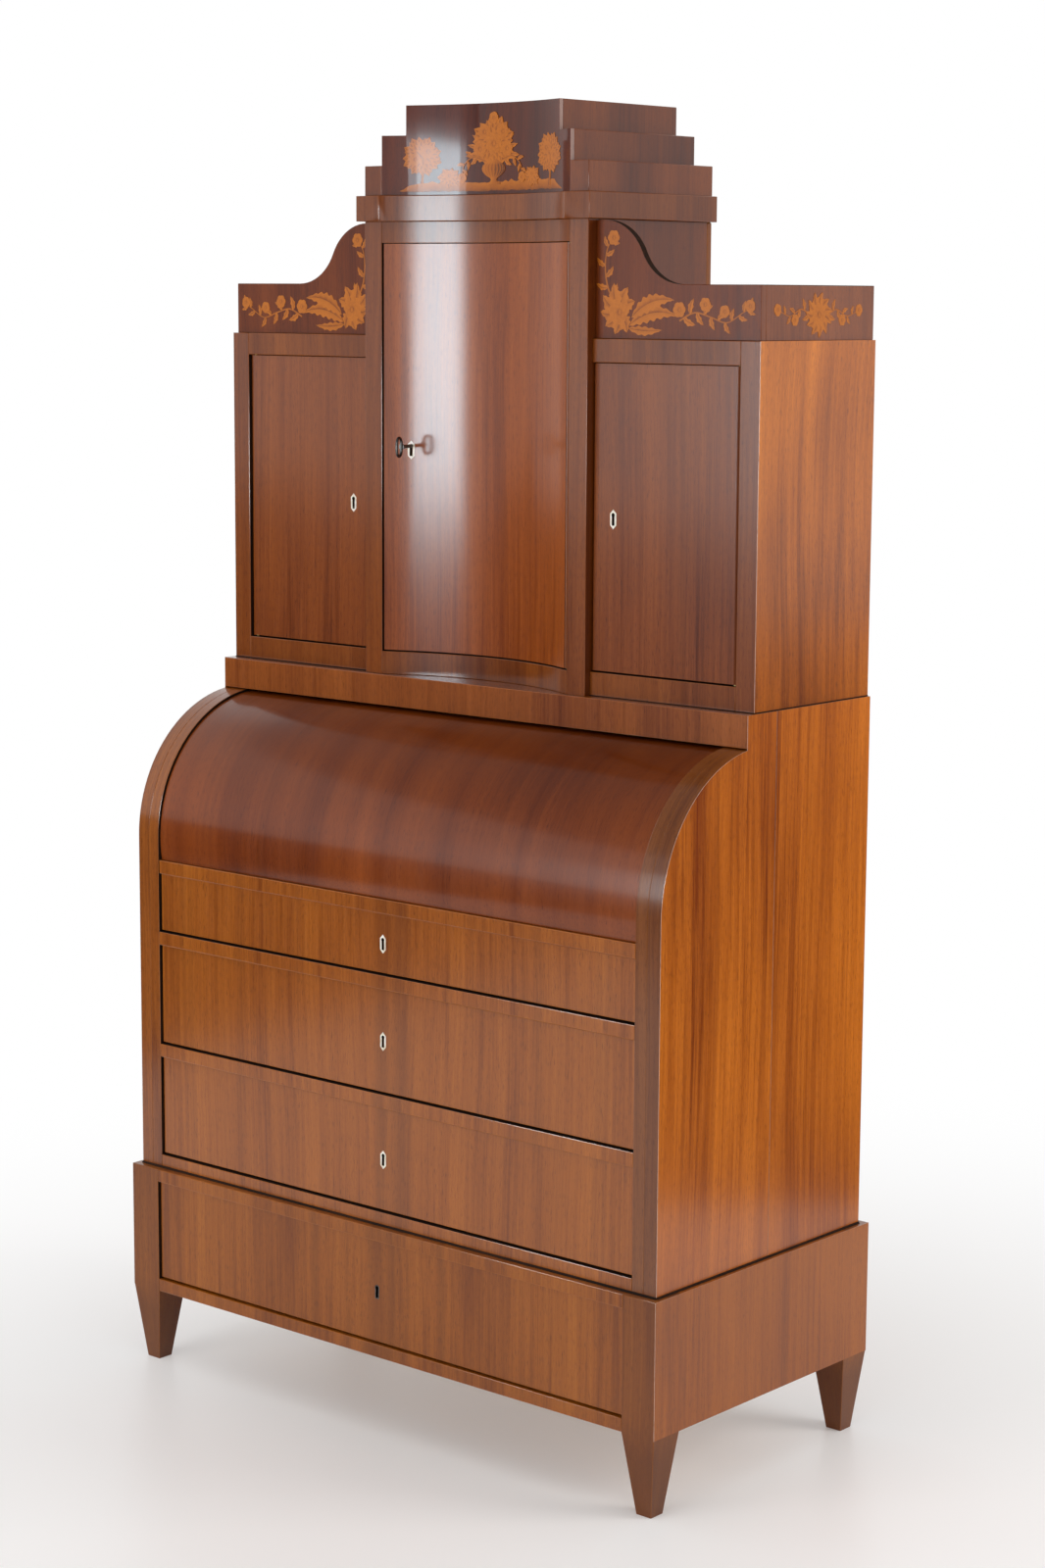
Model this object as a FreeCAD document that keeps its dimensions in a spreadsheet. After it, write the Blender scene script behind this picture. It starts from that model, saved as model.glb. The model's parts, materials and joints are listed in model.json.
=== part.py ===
import FreeCAD, Part
import os
import re

# Cylinder desk with a drawer base, a roll-back cylinder over a writing slide, and an upper
# cabinet of two wings and a hollow-fronted tower under a stepped pediment.
# Origin: middle of the base on the floor. +Z is up and the front faces -Y. Millimetres, degrees.

doc = FreeCAD.newDocument("CylinderDesk")
sheet = doc.addObject("Spreadsheet::Sheet", "Sizes")

SIZES = {
    # base on tapered feet
    "base_width": 1120,
    "base_depth": 542,
    "base_height": 210.5,
    "base_rail": 21,
    "base_panel": 20,
    "foot_height": 127,
    "foot_tip": 28,
    "foot_inset": 15,
    "post_width": 61,
    # desk carcass
    "desk_inset": 10,
    "desk_setback": 14.5,
    "back_gap": 14,
    "back_board": 12,
    "side_board": 24,
    "stile_width": 46,
    "facing": 22,
    "rail_height": 22,
    "rail_depth": 60,
    "runner_bearing": 30,
    "top_thickness": 49.5,
    "top_overlap": 32,
    # drawers
    "drawer_height": 168,
    "top_drawer_height": 98,
    "front_thickness": 20,
    "front_recess": 4.5,
    "drawer_gap": 1,
    "drawer_end_gap": 2,
    "drawer_foot_gap": 3,
    "running_gap": 0.3,
    "drawer_side": 12,
    "drawer_side_gap": 2.5,
    "rim_gap": 2.7,
    "drawer_bottom": 8,
    "bottom_lift": 8,
    "drawer_rear_gap": 15,
    # cylinder fall, its cranks and the writing slide
    "cylinder_radius": 232,
    "cylinder_drop": 35.5,
    "shell_recess": 4,
    "shell_thickness": 16,
    "shell_top_gap": 15,
    "shell_end_gap": 0.5,
    "quadrant": 19,
    "hub_radius": 24,
    "trunnion_radius": 8,
    "trunnion_seat": 12,
    "shaft_clearance": 0.05,
    "crank_plate": 6,
    "crank_width": 24,
    "crank_gap": 1.5,
    "crank_pin_radius": 5,
    "crank_half_angle": 42.5,
    "pin_play": 4,
    "yoke_plate": 5.5,
    "yoke_width": 50,
    "yoke_web": 8,
    "slide_thickness": 22,
    "slide_edge": 12,
    "slide_edge_recess": 1,
    "slide_rear_gap": 20,
    "leather_margin": 60,
    "leather_thickness": 1.5,
    "bearer_width": 24,
    "bearer_height": 15,
    "bearer_clearance": 8,
    # writing compartment
    "case_board": 8,
    "case_end_gap": 6,
    "inner_drawer_height": 60,
    "inner_drawer_wall": 6,
    "inner_drawer_lift": 3,
    "knob_radius": 7,
    "knob_stem_radius": 4,
    "knob_stem": 8,
    # upper cabinet
    "cabinet_inset": 5,
    "cabinet_setback": 22,
    "cabinet_height": 543,
    "cabinet_board": 18,
    "wing_stile": 35,
    "wing_top_rail": 35.5,
    "bottom_rail": 37,
    "frame_thickness": 22,
    "shelf_thickness": 14,
    "shelf_setback": 35,
    "door_thickness": 18,
    "door_recess": 3,
    "door_gap": 1,
    "door_free_gap": 3,
    "door_foot_gap": 2.5,
    "pivot_inset": 7,
    "pivot_radius": 2,
    "pivot_length": 6,
    # tower, cornice and pediment
    "tower_width": 462,
    "tower_proud": 12,
    "tower_rise": 178.5,
    "tower_stile": 36.5,
    "tower_stile_depth": 25,
    "tower_top_rail": 34,
    "tower_door_thickness": 20,
    "hollow_depth": 48,
    "hollow_back": 22,
    "cornice_overhang": 10,
    "cornice_height": 40,
    "step_height": 46.5,
    "step_inset": 36.5,
    "step_wall": 18,
    "step_lid": 10,
    "panel_thickness": 8,
    # gallery
    "gallery_height": 81,
    "gallery_setback": 6.5,
    "gallery_inset": 4,
    "gallery_board": 12,
    "sweep_run": 150,
    "sweep_shoulder": 14,
    "sweep_drop": 2,
    # locks, escutcheons and the key
    "lock_width": 60,
    "lock_height": 60,
    "lock_thickness": 10,
    "lock_inset": 38,
    "lock_edge_gap": 3,
    "escutcheon_width": 12,
    "escutcheon_height": 30,
    "escutcheon_thickness": 1.5,
    "escutcheon_proud": 0.3,
    "keyhole_radius": 3.2,
    "keyhole_slot": 5,
    "keyhole_drop": 16,
    "keyhole_rise": 6.5,
    "key_inset": 44,
    "key_rise": 6,
    "key_reach": 42,
    "key_shank_radius": 2.9,
    "key_collar_radius": 4.4,
    "key_collar_length": 4,
    "key_bow_radius": 9.5,
    "key_bow_straight": 10,
    "key_bow_wire": 2.2,
    "key_bit_length": 8,
    "key_bit_thickness": 2.4,
    "key_bit_play": 0.3,
    "key_end_gap": 4,
    "lock_front_wood": 6,
    "lock_plate": 2,
    "lock_tail": 18,
    "chamber_radius": 9,
    "bolt_thickness": 6,
    "bolt_height": 12,
    "bolt_rise": 10,
    "bolt_length": 38,
    "bolt_head_gap": 3,
    "bolt_throw": 9,
    "bolt_play": 0.4,
    # one overrun serves all cuts
    "overrun": 5,
}
# Places inside a compartment, as shares of the sizes that they follow.
CASE_FRONT_SHARE = 0.27
CASE_BACK_SHARE = 0.62
CASE_TOP_SHARE = 0.68
DIVIDER_SHARE = 0.34
WING_SHELF_SHARE = 0.5
TOWER_SHELF_SHARES = (0.34, 0.67)

for row, (alias, size) in enumerate(SIZES.items(), start=1):
    sheet.set(f"A{row}", alias)
    sheet.set(f"B{row}", str(size))
    sheet.setAlias(f"B{row}", alias)
doc.recompute()

pieces = []


def bound(text):
    """A formula in plain size names, with each name pointed at the sheet."""
    return re.sub(r"\b[a-z][a-z_]*\b(?!\()", r"Sizes.\g<0>", str(text))


def bind(thing, **formulas):
    for name, text in formulas.items():
        thing.setExpression(name, bound(text))
    return thing


def place(thing, base):
    for axis, text in zip("xyz", base):
        thing.setExpression(f"Placement.Base.{axis}", bound(text))
    return thing


def block(low, high):
    """A board or block between two opposite corners."""
    length, width, height = (f"({b}) - ({a})" for a, b in zip(low, high))
    box = bind(doc.addObject("Part::Box", "Block"), Length=length, Width=width, Height=height)
    return place(box, low)


def rod(axis, foot, length, radius):
    """A round bar from its foot along +X, +Y or +Z."""
    bar = doc.addObject("Part::Cylinder", "Rod")
    along = FreeCAD.Vector(*(float(axis == name) for name in "xyz"))
    bar.Placement = FreeCAD.Placement(
        FreeCAD.Vector(), FreeCAD.Rotation(FreeCAD.Vector(0, 0, 1), along))
    return place(bind(bar, Height=length, Radius=radius), foot)


def boolean(kind, *things):
    result = doc.addObject(kind, kind.split("Multi")[-1])
    result.Shapes = list(things)
    result.Refine = True
    return result


def fuse(*things):
    return boolean("Part::MultiFuse", *things)


def common(*things):
    return boolean("Part::MultiCommon", *things)


def group(*things):
    """Separate solids kept side by side in one sub-part."""
    result = doc.addObject("Part::Compound", "Group")
    result.Links = list(things)
    return result


def cut(base, *tools):
    result = doc.addObject("Part::Cut", "Cut")
    result.Base = base
    result.Tool = tools[0] if len(tools) == 1 else fuse(*tools)
    result.Refine = True
    return result


def turned(thing, axis, angle, base):
    """Turns a finished piece about an axis through its own origin and puts the origin at base."""
    thing.Placement = FreeCAD.Placement(FreeCAD.Vector(), FreeCAD.Rotation(axis, 1))
    thing.setExpression("Placement.Rotation.Angle", bound(angle))
    return place(thing, base)


def node(name, thing):
    thing.Label = name
    pieces.append(thing)
    return thing


def span(side, inner, outer):
    """An X range given for the right side, mirrored for the left."""
    return (inner, outer) if side > 0 else (f"-({outer})", f"-({inner})")


X_AXIS = FreeCAD.Vector(1, 0, 0)
Y_AXIS = FreeCAD.Vector(0, 1, 0)
Z_AXIS = FreeCAD.Vector(0, 0, 1)
SIDES = (-1, 1)

# Planes and levels, as formulas of the sizes.
base_half = "(base_width / 2)"
base_front = "(-base_depth / 2)"
base_back = "(base_depth / 2)"
base_top = "(foot_height + base_height)"
desk_half = f"({base_half} - desk_inset)"
desk_front = f"({base_front} + desk_setback)"
rear = f"({base_back} - back_gap)"
inner_back = f"({rear} - back_board)"
side_inner = f"({desk_half} - side_board)"
opening_half = f"({desk_half} - stile_width)"
low_drawer = f"({base_top} + rail_height)"
middle_drawer = f"({low_drawer} + drawer_height + rail_height)"
top_drawer = f"({middle_drawer} + drawer_height + rail_height)"
slide_low = f"({top_drawer} + top_drawer_height)"
slide_top = f"({slide_low} + slide_thickness)"
axis_y = f"({desk_front} + cylinder_radius)"
axis_z = f"({slide_top} + cylinder_drop)"
top_low = f"({axis_z} + cylinder_radius)"
top_high = f"({top_low} + top_thickness)"
top_front = f"({axis_y} - top_overlap)"
cabinet_half = f"({desk_half} - cabinet_inset)"
cabinet_front = f"({top_front} + cabinet_setback)"
cabinet_top = f"({top_high} + cabinet_height)"
frame_back = f"({cabinet_front} + frame_thickness)"
cabinet_inner = f"({cabinet_half} - cabinet_board)"
tower_half = "(tower_width / 2)"
tower_front = f"({cabinet_front} - tower_proud)"
tower_top = f"({cabinet_top} + tower_rise)"
tower_inner = f"({tower_half} - cabinet_board)"
hollow_half = f"({tower_half} - tower_stile)"
hollow_radius = f"(({hollow_half} ^ 2 + hollow_depth ^ 2) / (2 * hollow_depth))"
hollow_axis = f"({tower_front} + hollow_depth - {hollow_radius})"
hollow_rear = f"({tower_front} + hollow_depth + hollow_back)"


def hollow_rod(low, high, growth="0"):
    """The round bar whose surface is the hollow of the tower front."""
    return rod("z", (0, hollow_axis, low), f"{high} - {low}", f"{hollow_radius} + {growth}")


# Base: four corner posts that run down into tapered feet, panels let in between them.
def corner_post(side, back):
    x_low, x_high = span(side, f"{base_half} - post_width", base_half)
    tip_low, tip_high = span(
        side, f"{base_half} - foot_inset - foot_tip", f"{base_half} - foot_inset")
    y_low, y_high = (f"{base_back} - post_width", base_back) if back else (
        base_front, f"{base_front} + post_width")
    toe_low, toe_high = (
        f"{base_back} - foot_inset - foot_tip", f"{base_back} - foot_inset") if back else (
        f"{base_front} + foot_inset", f"{base_front} + foot_inset + foot_tip")
    shaft = block((x_low, y_low, "foot_height"), (x_high, y_high, base_top))
    foot = bind(
        doc.addObject("Part::Wedge", "Foot"), Ymin="0", Ymax="foot_height",
        Xmin=tip_low, Xmax=tip_high, Zmin=f"-({toe_high})", Zmax=f"-({toe_low})",
        X2min=x_low, X2max=x_high, Z2min=f"-({y_high})", Z2max=f"-({y_low})")
    foot.Placement = FreeCAD.Placement(FreeCAD.Vector(), FreeCAD.Rotation(X_AXIS, 90))
    return fuse(shaft, foot)


node("corner_posts", group(*(corner_post(side, back) for back in (False, True) for side in SIDES)))

post_inner = f"({base_half} - post_width)"
base_panels = [block((f"-{post_inner}", f"{base_back} - base_panel", "foot_height"),
                     (post_inner, base_back, base_top))]
base_runners = []
for side in SIDES:
    x_low, x_high = span(side, f"{base_half} - base_panel", base_half)
    base_panels.append(block((x_low, f"{base_front} + post_width", "foot_height"),
                             (x_high, f"{base_back} - post_width", base_top)))
    x_low, x_high = span(side, f"{post_inner} - runner_bearing", f"{base_half} - base_panel")
    base_runners.append(block((x_low, f"{base_front} + post_width", "foot_height"),
                              (x_high, f"{base_back} - post_width", "foot_height + base_rail")))
node("base_panels", group(*base_panels))
node("base_rails", group(*(
    block((f"-{post_inner}", base_front, low),
          (post_inner, f"{base_front} + post_width", f"{low} + base_rail"))
    for low in ("foot_height", f"({base_top} - base_rail)"))))


# Desk carcass: side boards with a round front shoulder, faced stiles, rails and runners.
def desk_side(side):
    x_low, x_high = span(side, side_inner, desk_half)
    lower = block((x_low, desk_front, base_top), (x_high, rear, axis_z))
    upper = block((x_low, axis_y, axis_z), (x_high, rear, top_low))
    shoulder = common(
        rod("x", (x_low, axis_y, axis_z), "side_board", "cylinder_radius"),
        block((x_low, desk_front, axis_z), (x_high, axis_y, top_low)))
    seat = f"({side_inner} + trunnion_seat + running_gap)"
    bore_low = span(side, side_inner, seat)[0]
    bore = rod("x", (bore_low, axis_y, axis_z), f"{seat} - {side_inner}",
               "trunnion_radius + shaft_clearance")
    return cut(fuse(lower, upper, shoulder), bore)


def facing_strip(side):
    x_low, x_high = span(side, opening_half, side_inner)
    straight = block((x_low, desk_front, base_top), (x_high, f"{desk_front} + facing", axis_z))
    width = f"{side_inner} - {opening_half}"
    bend = common(
        cut(rod("x", (x_low, axis_y, axis_z), width, "cylinder_radius"),
            rod("x", (x_low, axis_y, axis_z), width, "cylinder_radius - facing")),
        block((x_low, desk_front, axis_z), (x_high, axis_y, top_low)))
    return fuse(straight, bend)


node("desk_side_left", desk_side(-1))
node("desk_side_right", desk_side(1))
node("front_facings", group(*(facing_strip(side) for side in SIDES)))
rail_levels = (base_top, f"({middle_drawer} - rail_height)", f"({top_drawer} - rail_height)")
node("drawer_rails", group(*(
    block((f"-{opening_half}", desk_front, low),
          (opening_half, f"{desk_front} + rail_depth", f"{low} + rail_height"))
    for low in rail_levels)))
desk_runners = []
for low in rail_levels:
    for side in SIDES:
        x_low, x_high = span(side, f"{opening_half} - runner_bearing", side_inner)
        desk_runners.append(block((x_low, f"{desk_front} + rail_depth", low),
                                  (x_high, inner_back, f"{low} + rail_height")))
node("drawer_runners", group(*base_runners, *desk_runners))
node("desk_back", block((f"-{side_inner}", inner_back, base_top), (side_inner, rear, top_low)))
node("desk_top", block((f"-{desk_half}", top_front, top_low), (desk_half, rear, top_high)))

# Crank and yoke: a pin under each trunnion rides in an upright slot that the slide carries.
crank_radius = (
    f"({axis_z} - {top_drawer} - yoke_web - crank_pin_radius - pin_play - running_gap)")
pin_swing = f"({crank_radius} * sin(crank_half_angle))"
pin_y = f"({axis_y} + {pin_swing})"
slide_half = f"({opening_half} - shell_end_gap)"
yoke_reach = f"({pin_swing} + yoke_width / 2 + bearer_clearance)"
front_back = f"({desk_front} + front_recess + front_thickness)"


def slide_bearer(side):
    """A bearer under the slide, blocked out to the side board clear of the crank's swing."""
    inner = f"{opening_half} - bearer_width - drawer_side_gap"
    x_low, x_high = span(side, inner, f"{opening_half} - drawer_side_gap")
    low = f"{slide_low} - running_gap - bearer_height"
    high = f"{slide_low} - running_gap"
    start = f"{front_back} + drawer_gap"
    bar = block((x_low, start, low), (x_high, inner_back, high))
    x_low, x_high = span(side, inner, side_inner)
    front_foot = block((x_low, start, low), (x_high, f"{axis_y} - {yoke_reach}", high))
    rear_foot = block((x_low, f"{axis_y} + {yoke_reach}", low), (x_high, inner_back, high))
    return fuse(bar, front_foot, rear_foot)


node("slide_bearers", group(*(slide_bearer(side) for side in SIDES)))

# Writing compartment: a low case of pigeonholes inside the sweep of the cylinder.
shell_outer = "(cylinder_radius - shell_recess)"
shell_inner = f"({shell_outer} - shell_thickness)"
case_half = f"({slide_half} - quadrant - case_end_gap)"
case_front = f"({axis_y} - {CASE_FRONT_SHARE} * {shell_inner})"
case_back = f"({axis_y} + {CASE_BACK_SHARE} * {shell_inner})"
case_top = f"({axis_z} + {CASE_TOP_SHARE} * {shell_inner})"
case_low = f"({slide_top} + running_gap)"
case_floor = f"({case_low} + case_board)"
case_lid = f"({case_top} - case_board)"
case_rear = f"({case_back} - case_board)"
bay_low = f"({DIVIDER_SHARE} * {case_half} + case_board)"
bay_high = f"({case_half} - case_board)"
shelf_low = f"({case_floor} + inner_drawer_height)"
case_boards = [
    block((f"-{case_half}", case_front, case_low), (case_half, inner_back, case_floor)),
    block((f"-{case_half}", case_front, case_lid), (case_half, case_back, case_top)),
    block((f"-{bay_high}", case_rear, case_floor), (bay_high, case_back, case_lid)),
]
for side in SIDES:
    x_low, x_high = span(side, bay_high, case_half)
    case_boards.append(block((x_low, case_front, case_floor), (x_high, case_back, case_lid)))
    x_low, x_high = span(side, f"{bay_low} - case_board", bay_low)
    case_boards.append(block((x_low, case_front, case_floor), (x_high, case_rear, case_lid)))
    x_low, x_high = span(side, bay_low, bay_high)
    case_boards.append(block((x_low, case_front, shelf_low),
                             (x_high, case_rear, f"{shelf_low} + case_board")))
node("pigeonhole_case", group(*case_boards))


def inner_drawer(side):
    left, right = span(side, f"({bay_low} + running_gap)", f"({bay_high} - running_gap)")
    low = f"({case_floor} + running_gap)"
    high = f"({shelf_low} - drawer_gap)"
    wall = "inner_drawer_wall"
    front = f"({case_front} + case_board)"
    back = f"({case_rear} - drawer_gap)"
    floor = f"{low} + inner_drawer_lift"
    middle = f"(({left}) / 2 + ({right}) / 2)"
    height = f"(({low}) / 2 + ({high}) / 2)"
    stem = rod("y", (middle, f"{case_front} - knob_stem", height), "knob_stem", "knob_stem_radius")
    ball = place(bind(doc.addObject("Part::Sphere", "Knob"), Radius="knob_radius"),
                 (middle, f"{case_front} - knob_stem", height))
    return group(
        block((left, case_front, low), (right, front, high)),
        block((left, front, low), (f"{left} + {wall}", back, high)),
        block((f"{right} - {wall}", front, low), (right, back, high)),
        block((f"{left} + {wall}", f"{back} - {wall}", low), (f"{right} - {wall}", back, high)),
        block((f"{left} + {wall}", front, floor),
              (f"{right} - {wall}", f"{back} - {wall}", f"{floor} + {wall}")),
        fuse(stem, ball))


node("inner_drawer_left", inner_drawer(-1))
node("inner_drawer_right", inner_drawer(1))


# Cylinder fall: a bent shell on two quadrants that turn on trunnions in the side boards.
def barrel(x_low, length, radius):
    return rod("x", (x_low, axis_y, axis_z), length, radius)


shell_low = f"({slide_top} + running_gap)"
shell_rear = f"({axis_y} - shell_top_gap)"
shell_window = block((f"-{slide_half}", desk_front, shell_low), (slide_half, shell_rear, top_low))
node("cylinder_shell", common(
    cut(barrel(f"-{slide_half}", f"2 * {slide_half}", shell_outer),
        barrel(f"-{slide_half}", f"2 * {slide_half}", shell_inner)),
    shell_window))


def quadrant_end(side):
    x_low, x_high = span(side, f"{slide_half} - quadrant", slide_half)
    fan = common(barrel(x_low, "quadrant", shell_inner),
                 block((x_low, desk_front, shell_low), (x_high, shell_rear, top_low)))
    return fuse(fan, barrel(x_low, "quadrant", "hub_radius"))


def crank(side):
    """Modelled hanging straight down from its trunnion, then swung back to the closed place."""
    hub = "yoke_plate + crank_gap"
    plate_low, plate_high = span(side, f"{slide_half} + {hub}", f"{slide_half} + {hub} + crank_plate")
    hub_low = span(side, slide_half, f"{slide_half} + {hub}")[0]
    trunnion_length = f"({side_inner} + trunnion_seat - {slide_half})"
    trunnion_low = span(side, slide_half, f"{slide_half} + {trunnion_length}")[0]
    pin_low = span(side, f"{slide_half} + running_gap", f"{slide_half} + {hub}")[0]
    drop = f"-{crank_radius}"
    arm = block((plate_low, "-crank_width / 2", drop), (plate_high, "crank_width / 2", 0))
    whole = fuse(
        arm,
        rod("x", (plate_low, 0, 0), "crank_plate", "hub_radius"),
        rod("x", (plate_low, 0, drop), "crank_plate", "crank_width / 2"),
        rod("x", (hub_low, 0, 0), hub, "hub_radius"),
        rod("x", (trunnion_low, 0, 0), trunnion_length, "trunnion_radius"),
        rod("x", (pin_low, 0, drop), f"{hub} - running_gap", "crank_pin_radius"))
    return turned(whole, X_AXIS, "crank_half_angle", (0, axis_y, axis_z))


node("cylinder_quadrants", group(*(quadrant_end(side) for side in SIDES)))
node("cylinder_cranks", group(*(crank(side) for side in SIDES)))

# Writing slide: a panel lined with leather, lipped in front, with the two yokes on its edges.
slide_panel_front = f"({desk_front} + slide_edge)"
leather_half = f"({slide_half} - leather_margin)"
leather_front = f"({slide_panel_front} + leather_margin)"
leather_low = f"({slide_top} - leather_thickness)"
slide_board = block((f"-{slide_half}", slide_panel_front, slide_low),
                    (slide_half, f"{inner_back} - slide_rear_gap", slide_top))
leather_recess = block((f"-{leather_half}", leather_front, leather_low),
                       (leather_half, case_back, f"{slide_top} + overrun"))
node("slide_panel", cut(slide_board, leather_recess))
node("slide_leather", block((f"-{leather_half}", leather_front, leather_low),
                            (leather_half, case_back, slide_top)))
node("slide_edge", block((f"-{slide_half}", f"{desk_front} + slide_edge_recess", slide_low),
                         (slide_half, slide_panel_front, slide_top)))


def yoke(side):
    x_low, x_high = span(side, slide_half, f"{slide_half} + yoke_plate")
    slot_half = "(crank_pin_radius + pin_play)"
    plate = block((x_low, f"{pin_y} - yoke_width / 2", f"{top_drawer} + running_gap"),
                  (x_high, f"{pin_y} + yoke_width / 2", f"{slide_top} - running_gap"))
    slot_top = f"{axis_z} - {crank_radius} * cos(crank_half_angle) + {slot_half}"
    slot = block((f"{x_low} - overrun", f"{pin_y} - {slot_half}", f"{top_drawer} + running_gap + yoke_web"),
                 (f"{x_high} + overrun", f"{pin_y} + {slot_half}", slot_top))
    return cut(plate, slot)


node("slide_yokes", group(*(yoke(side) for side in SIDES)))


# Drawers: a veneered front on a box of sides, back and bottom, with a lock and a keyhole.
def keyhole(front, back, middle="0", level="0"):
    hole = rod("y", (middle, front, level), f"{back} - ({front})", "keyhole_radius")
    slot = block((f"{middle} - keyhole_slot / 2", front, f"{level} - keyhole_drop"),
                 (f"{middle} + keyhole_slot / 2", back, level))
    return fuse(hole, slot)


def escutcheon_blank(front, middle="0", level="0"):
    """A long plate with pointed ends, let into the wood with its face a little proud."""
    face = f"({front} - escutcheon_proud)"
    plate = block((f"{middle} - escutcheon_width / 2", face, f"{level} - escutcheon_height / 2"),
                  (f"{middle} + escutcheon_width / 2", f"{front} + escutcheon_thickness",
                   f"{level} + escutcheon_height / 2"))
    diamond = bind(doc.addObject("Part::Box", "Diamond"), Length="escutcheon_height / sqrt(2)",
                   Height="escutcheon_height / sqrt(2)", Width="escutcheon_proud + escutcheon_thickness")
    diamond.Placement = FreeCAD.Placement(FreeCAD.Vector(), FreeCAD.Rotation(Y_AXIS, -45))
    place(diamond, (middle, face, f"{level} - escutcheon_height / 2"))
    return common(plate, diamond)


def escutcheon(front, middle="0", level="0"):
    return cut(escutcheon_blank(front, middle, level),
               keyhole(f"{front} - overrun", f"{front} + overrun", middle, f"({level} + keyhole_rise)"))


def drawer(name, half, low, high, face, rear_wall, bone):
    front = f"({face} + front_recess)"
    back = f"({front} + front_thickness)"
    level = f"(({low}) / 2 + ({high}) / 2)"
    board = block((f"-({half} - drawer_end_gap)", front, f"{low} + drawer_foot_gap"),
                  (f"{half} - drawer_end_gap", back, f"{high} - drawer_gap"))
    holes = [keyhole(f"{front} - overrun", f"{back} + overrun", level=f"({level} + keyhole_rise)")]
    if bone:
        holes.append(escutcheon_blank(front, level=level))
        node(f"{name}_escutcheon", escutcheon(front, level=level))
    node(f"{name}_front", cut(board, *holes))
    outer = f"({half} - drawer_side_gap)"
    inner = f"({outer} - drawer_side)"
    floor = f"({low} + running_gap)"
    rim = f"({high} - running_gap - bearer_height - rim_gap)"
    end = f"({rear_wall} - drawer_rear_gap)"
    box = [
        block((f"-{inner}", f"{end} - drawer_side", floor), (inner, end, rim)),
        block((f"-{inner}", back, f"{floor} + bottom_lift"),
              (inner, f"{end} - drawer_side", f"{floor} + bottom_lift + drawer_bottom")),
    ]
    for side in SIDES:
        x_low, x_high = span(side, inner, outer)
        box.append(block((x_low, back, floor), (x_high, end, rim)))
    node(f"{name}_box", group(*box))
    node(f"{name}_lock", block(
        ("-lock_width / 2", back, f"{level} - lock_height / 2"),
        ("lock_width / 2", f"{back} + lock_thickness", f"{level} + lock_height / 2")))


drawer("top_drawer", opening_half, top_drawer, slide_low, desk_front, inner_back, True)
drawer("middle_drawer", opening_half, middle_drawer, f"({middle_drawer} + drawer_height)",
       desk_front, inner_back, True)
drawer("low_drawer", opening_half, low_drawer, f"({low_drawer} + drawer_height)",
       desk_front, inner_back, True)
drawer("base_drawer", post_inner, "(foot_height + base_rail)", f"({base_top} - base_rail)",
       base_front, f"({base_back} - base_panel)", False)

# Upper cabinet: boards, sides and back, with the wing frames in front.
cabinet_floor = f"({top_high} + cabinet_board)"
bottom_board = cut(
    block((f"-{cabinet_inner}", frame_back, top_high), (cabinet_inner, inner_back, cabinet_floor)),
    block((f"-{tower_half}", tower_front, f"{top_high} - overrun"),
          (tower_half, hollow_rear, f"{cabinet_floor} + overrun")))
cabinet_boards = [bottom_board]
cabinet_sides = []
wing_frames = []
door_low = f"({top_high} + bottom_rail)"
wing_door_high = f"({cabinet_top} - wing_top_rail)"
tower_door_high = f"({tower_top} - tower_top_rail)"
stile_inner = f"({cabinet_half} - wing_stile)"
for side in SIDES:
    x_low, x_high = span(side, tower_half, cabinet_inner)
    cabinet_boards.append(block((x_low, frame_back, f"{cabinet_top} - cabinet_board"),
                                (x_high, inner_back, cabinet_top)))
    x_low, x_high = span(side, cabinet_inner, cabinet_half)
    cabinet_sides.append(block((x_low, frame_back, top_high), (x_high, rear, cabinet_top)))
    x_low, x_high = span(side, stile_inner, cabinet_half)
    wing_frames.append(block((x_low, cabinet_front, top_high), (x_high, frame_back, cabinet_top)))
    x_low, x_high = span(side, tower_half, stile_inner)
    wing_frames.append(block((x_low, cabinet_front, top_high), (x_high, frame_back, door_low)))
    wing_frames.append(block((x_low, cabinet_front, wing_door_high), (x_high, frame_back, cabinet_top)))
node("cabinet_boards", group(*cabinet_boards))
node("cabinet_sides", group(*cabinet_sides))
node("wing_frames", group(*wing_frames))
node("cabinet_back", fuse(
    block((f"-{cabinet_inner}", inner_back, top_high), (cabinet_inner, rear, cabinet_top)),
    block((f"-{tower_half}", inner_back, top_high), (tower_half, rear, tower_top))))

# Tower: sides, stiles and two hollow rails that frame the hollow door.
door_edge = f"({hollow_half} - door_gap)"
free_door_edge = f"({hollow_half} - door_free_gap)"
key_offset = f"({door_edge} - key_inset)"
key_angle = f"asin({key_offset} / {hollow_radius})"
key_level = f"(({door_low}) / 2 + ({tower_door_high}) / 2 + key_rise)"
lock_base = (0, hollow_axis, key_level)
bolt_front = f"({hollow_radius} + lock_front_wood + lock_plate)"
bolt_head = "(-key_inset + bolt_head_gap)"
plate_level = "(-keyhole_rise)"


def bolt_space(low, high, play):
    """The bolt's room in the lock's own frame: the keyhole at X 0, the hollow's radius along Y."""
    return block((low, f"{bolt_front} - {play}", f"bolt_rise - {play}"),
                 (high, f"{bolt_front} + bolt_thickness + {play}", f"bolt_rise + bolt_height + {play}"))


def at_lock(*things):
    """Solids drawn in the lock's own frame, turned and carried to their place in the door."""
    return turned(group(*things), Z_AXIS, key_angle, lock_base)


def tower_stile(side):
    x_low, x_high = span(side, hollow_half, tower_half)
    return block((x_low, tower_front, top_high),
                 (x_high, f"{tower_front} + tower_stile_depth", tower_top))


def tower_side(side):
    x_low, x_high = span(side, tower_inner, tower_half)
    return block((x_low, f"{tower_front} + tower_stile_depth", cabinet_floor),
                 (x_high, inner_back, tower_top))


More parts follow.
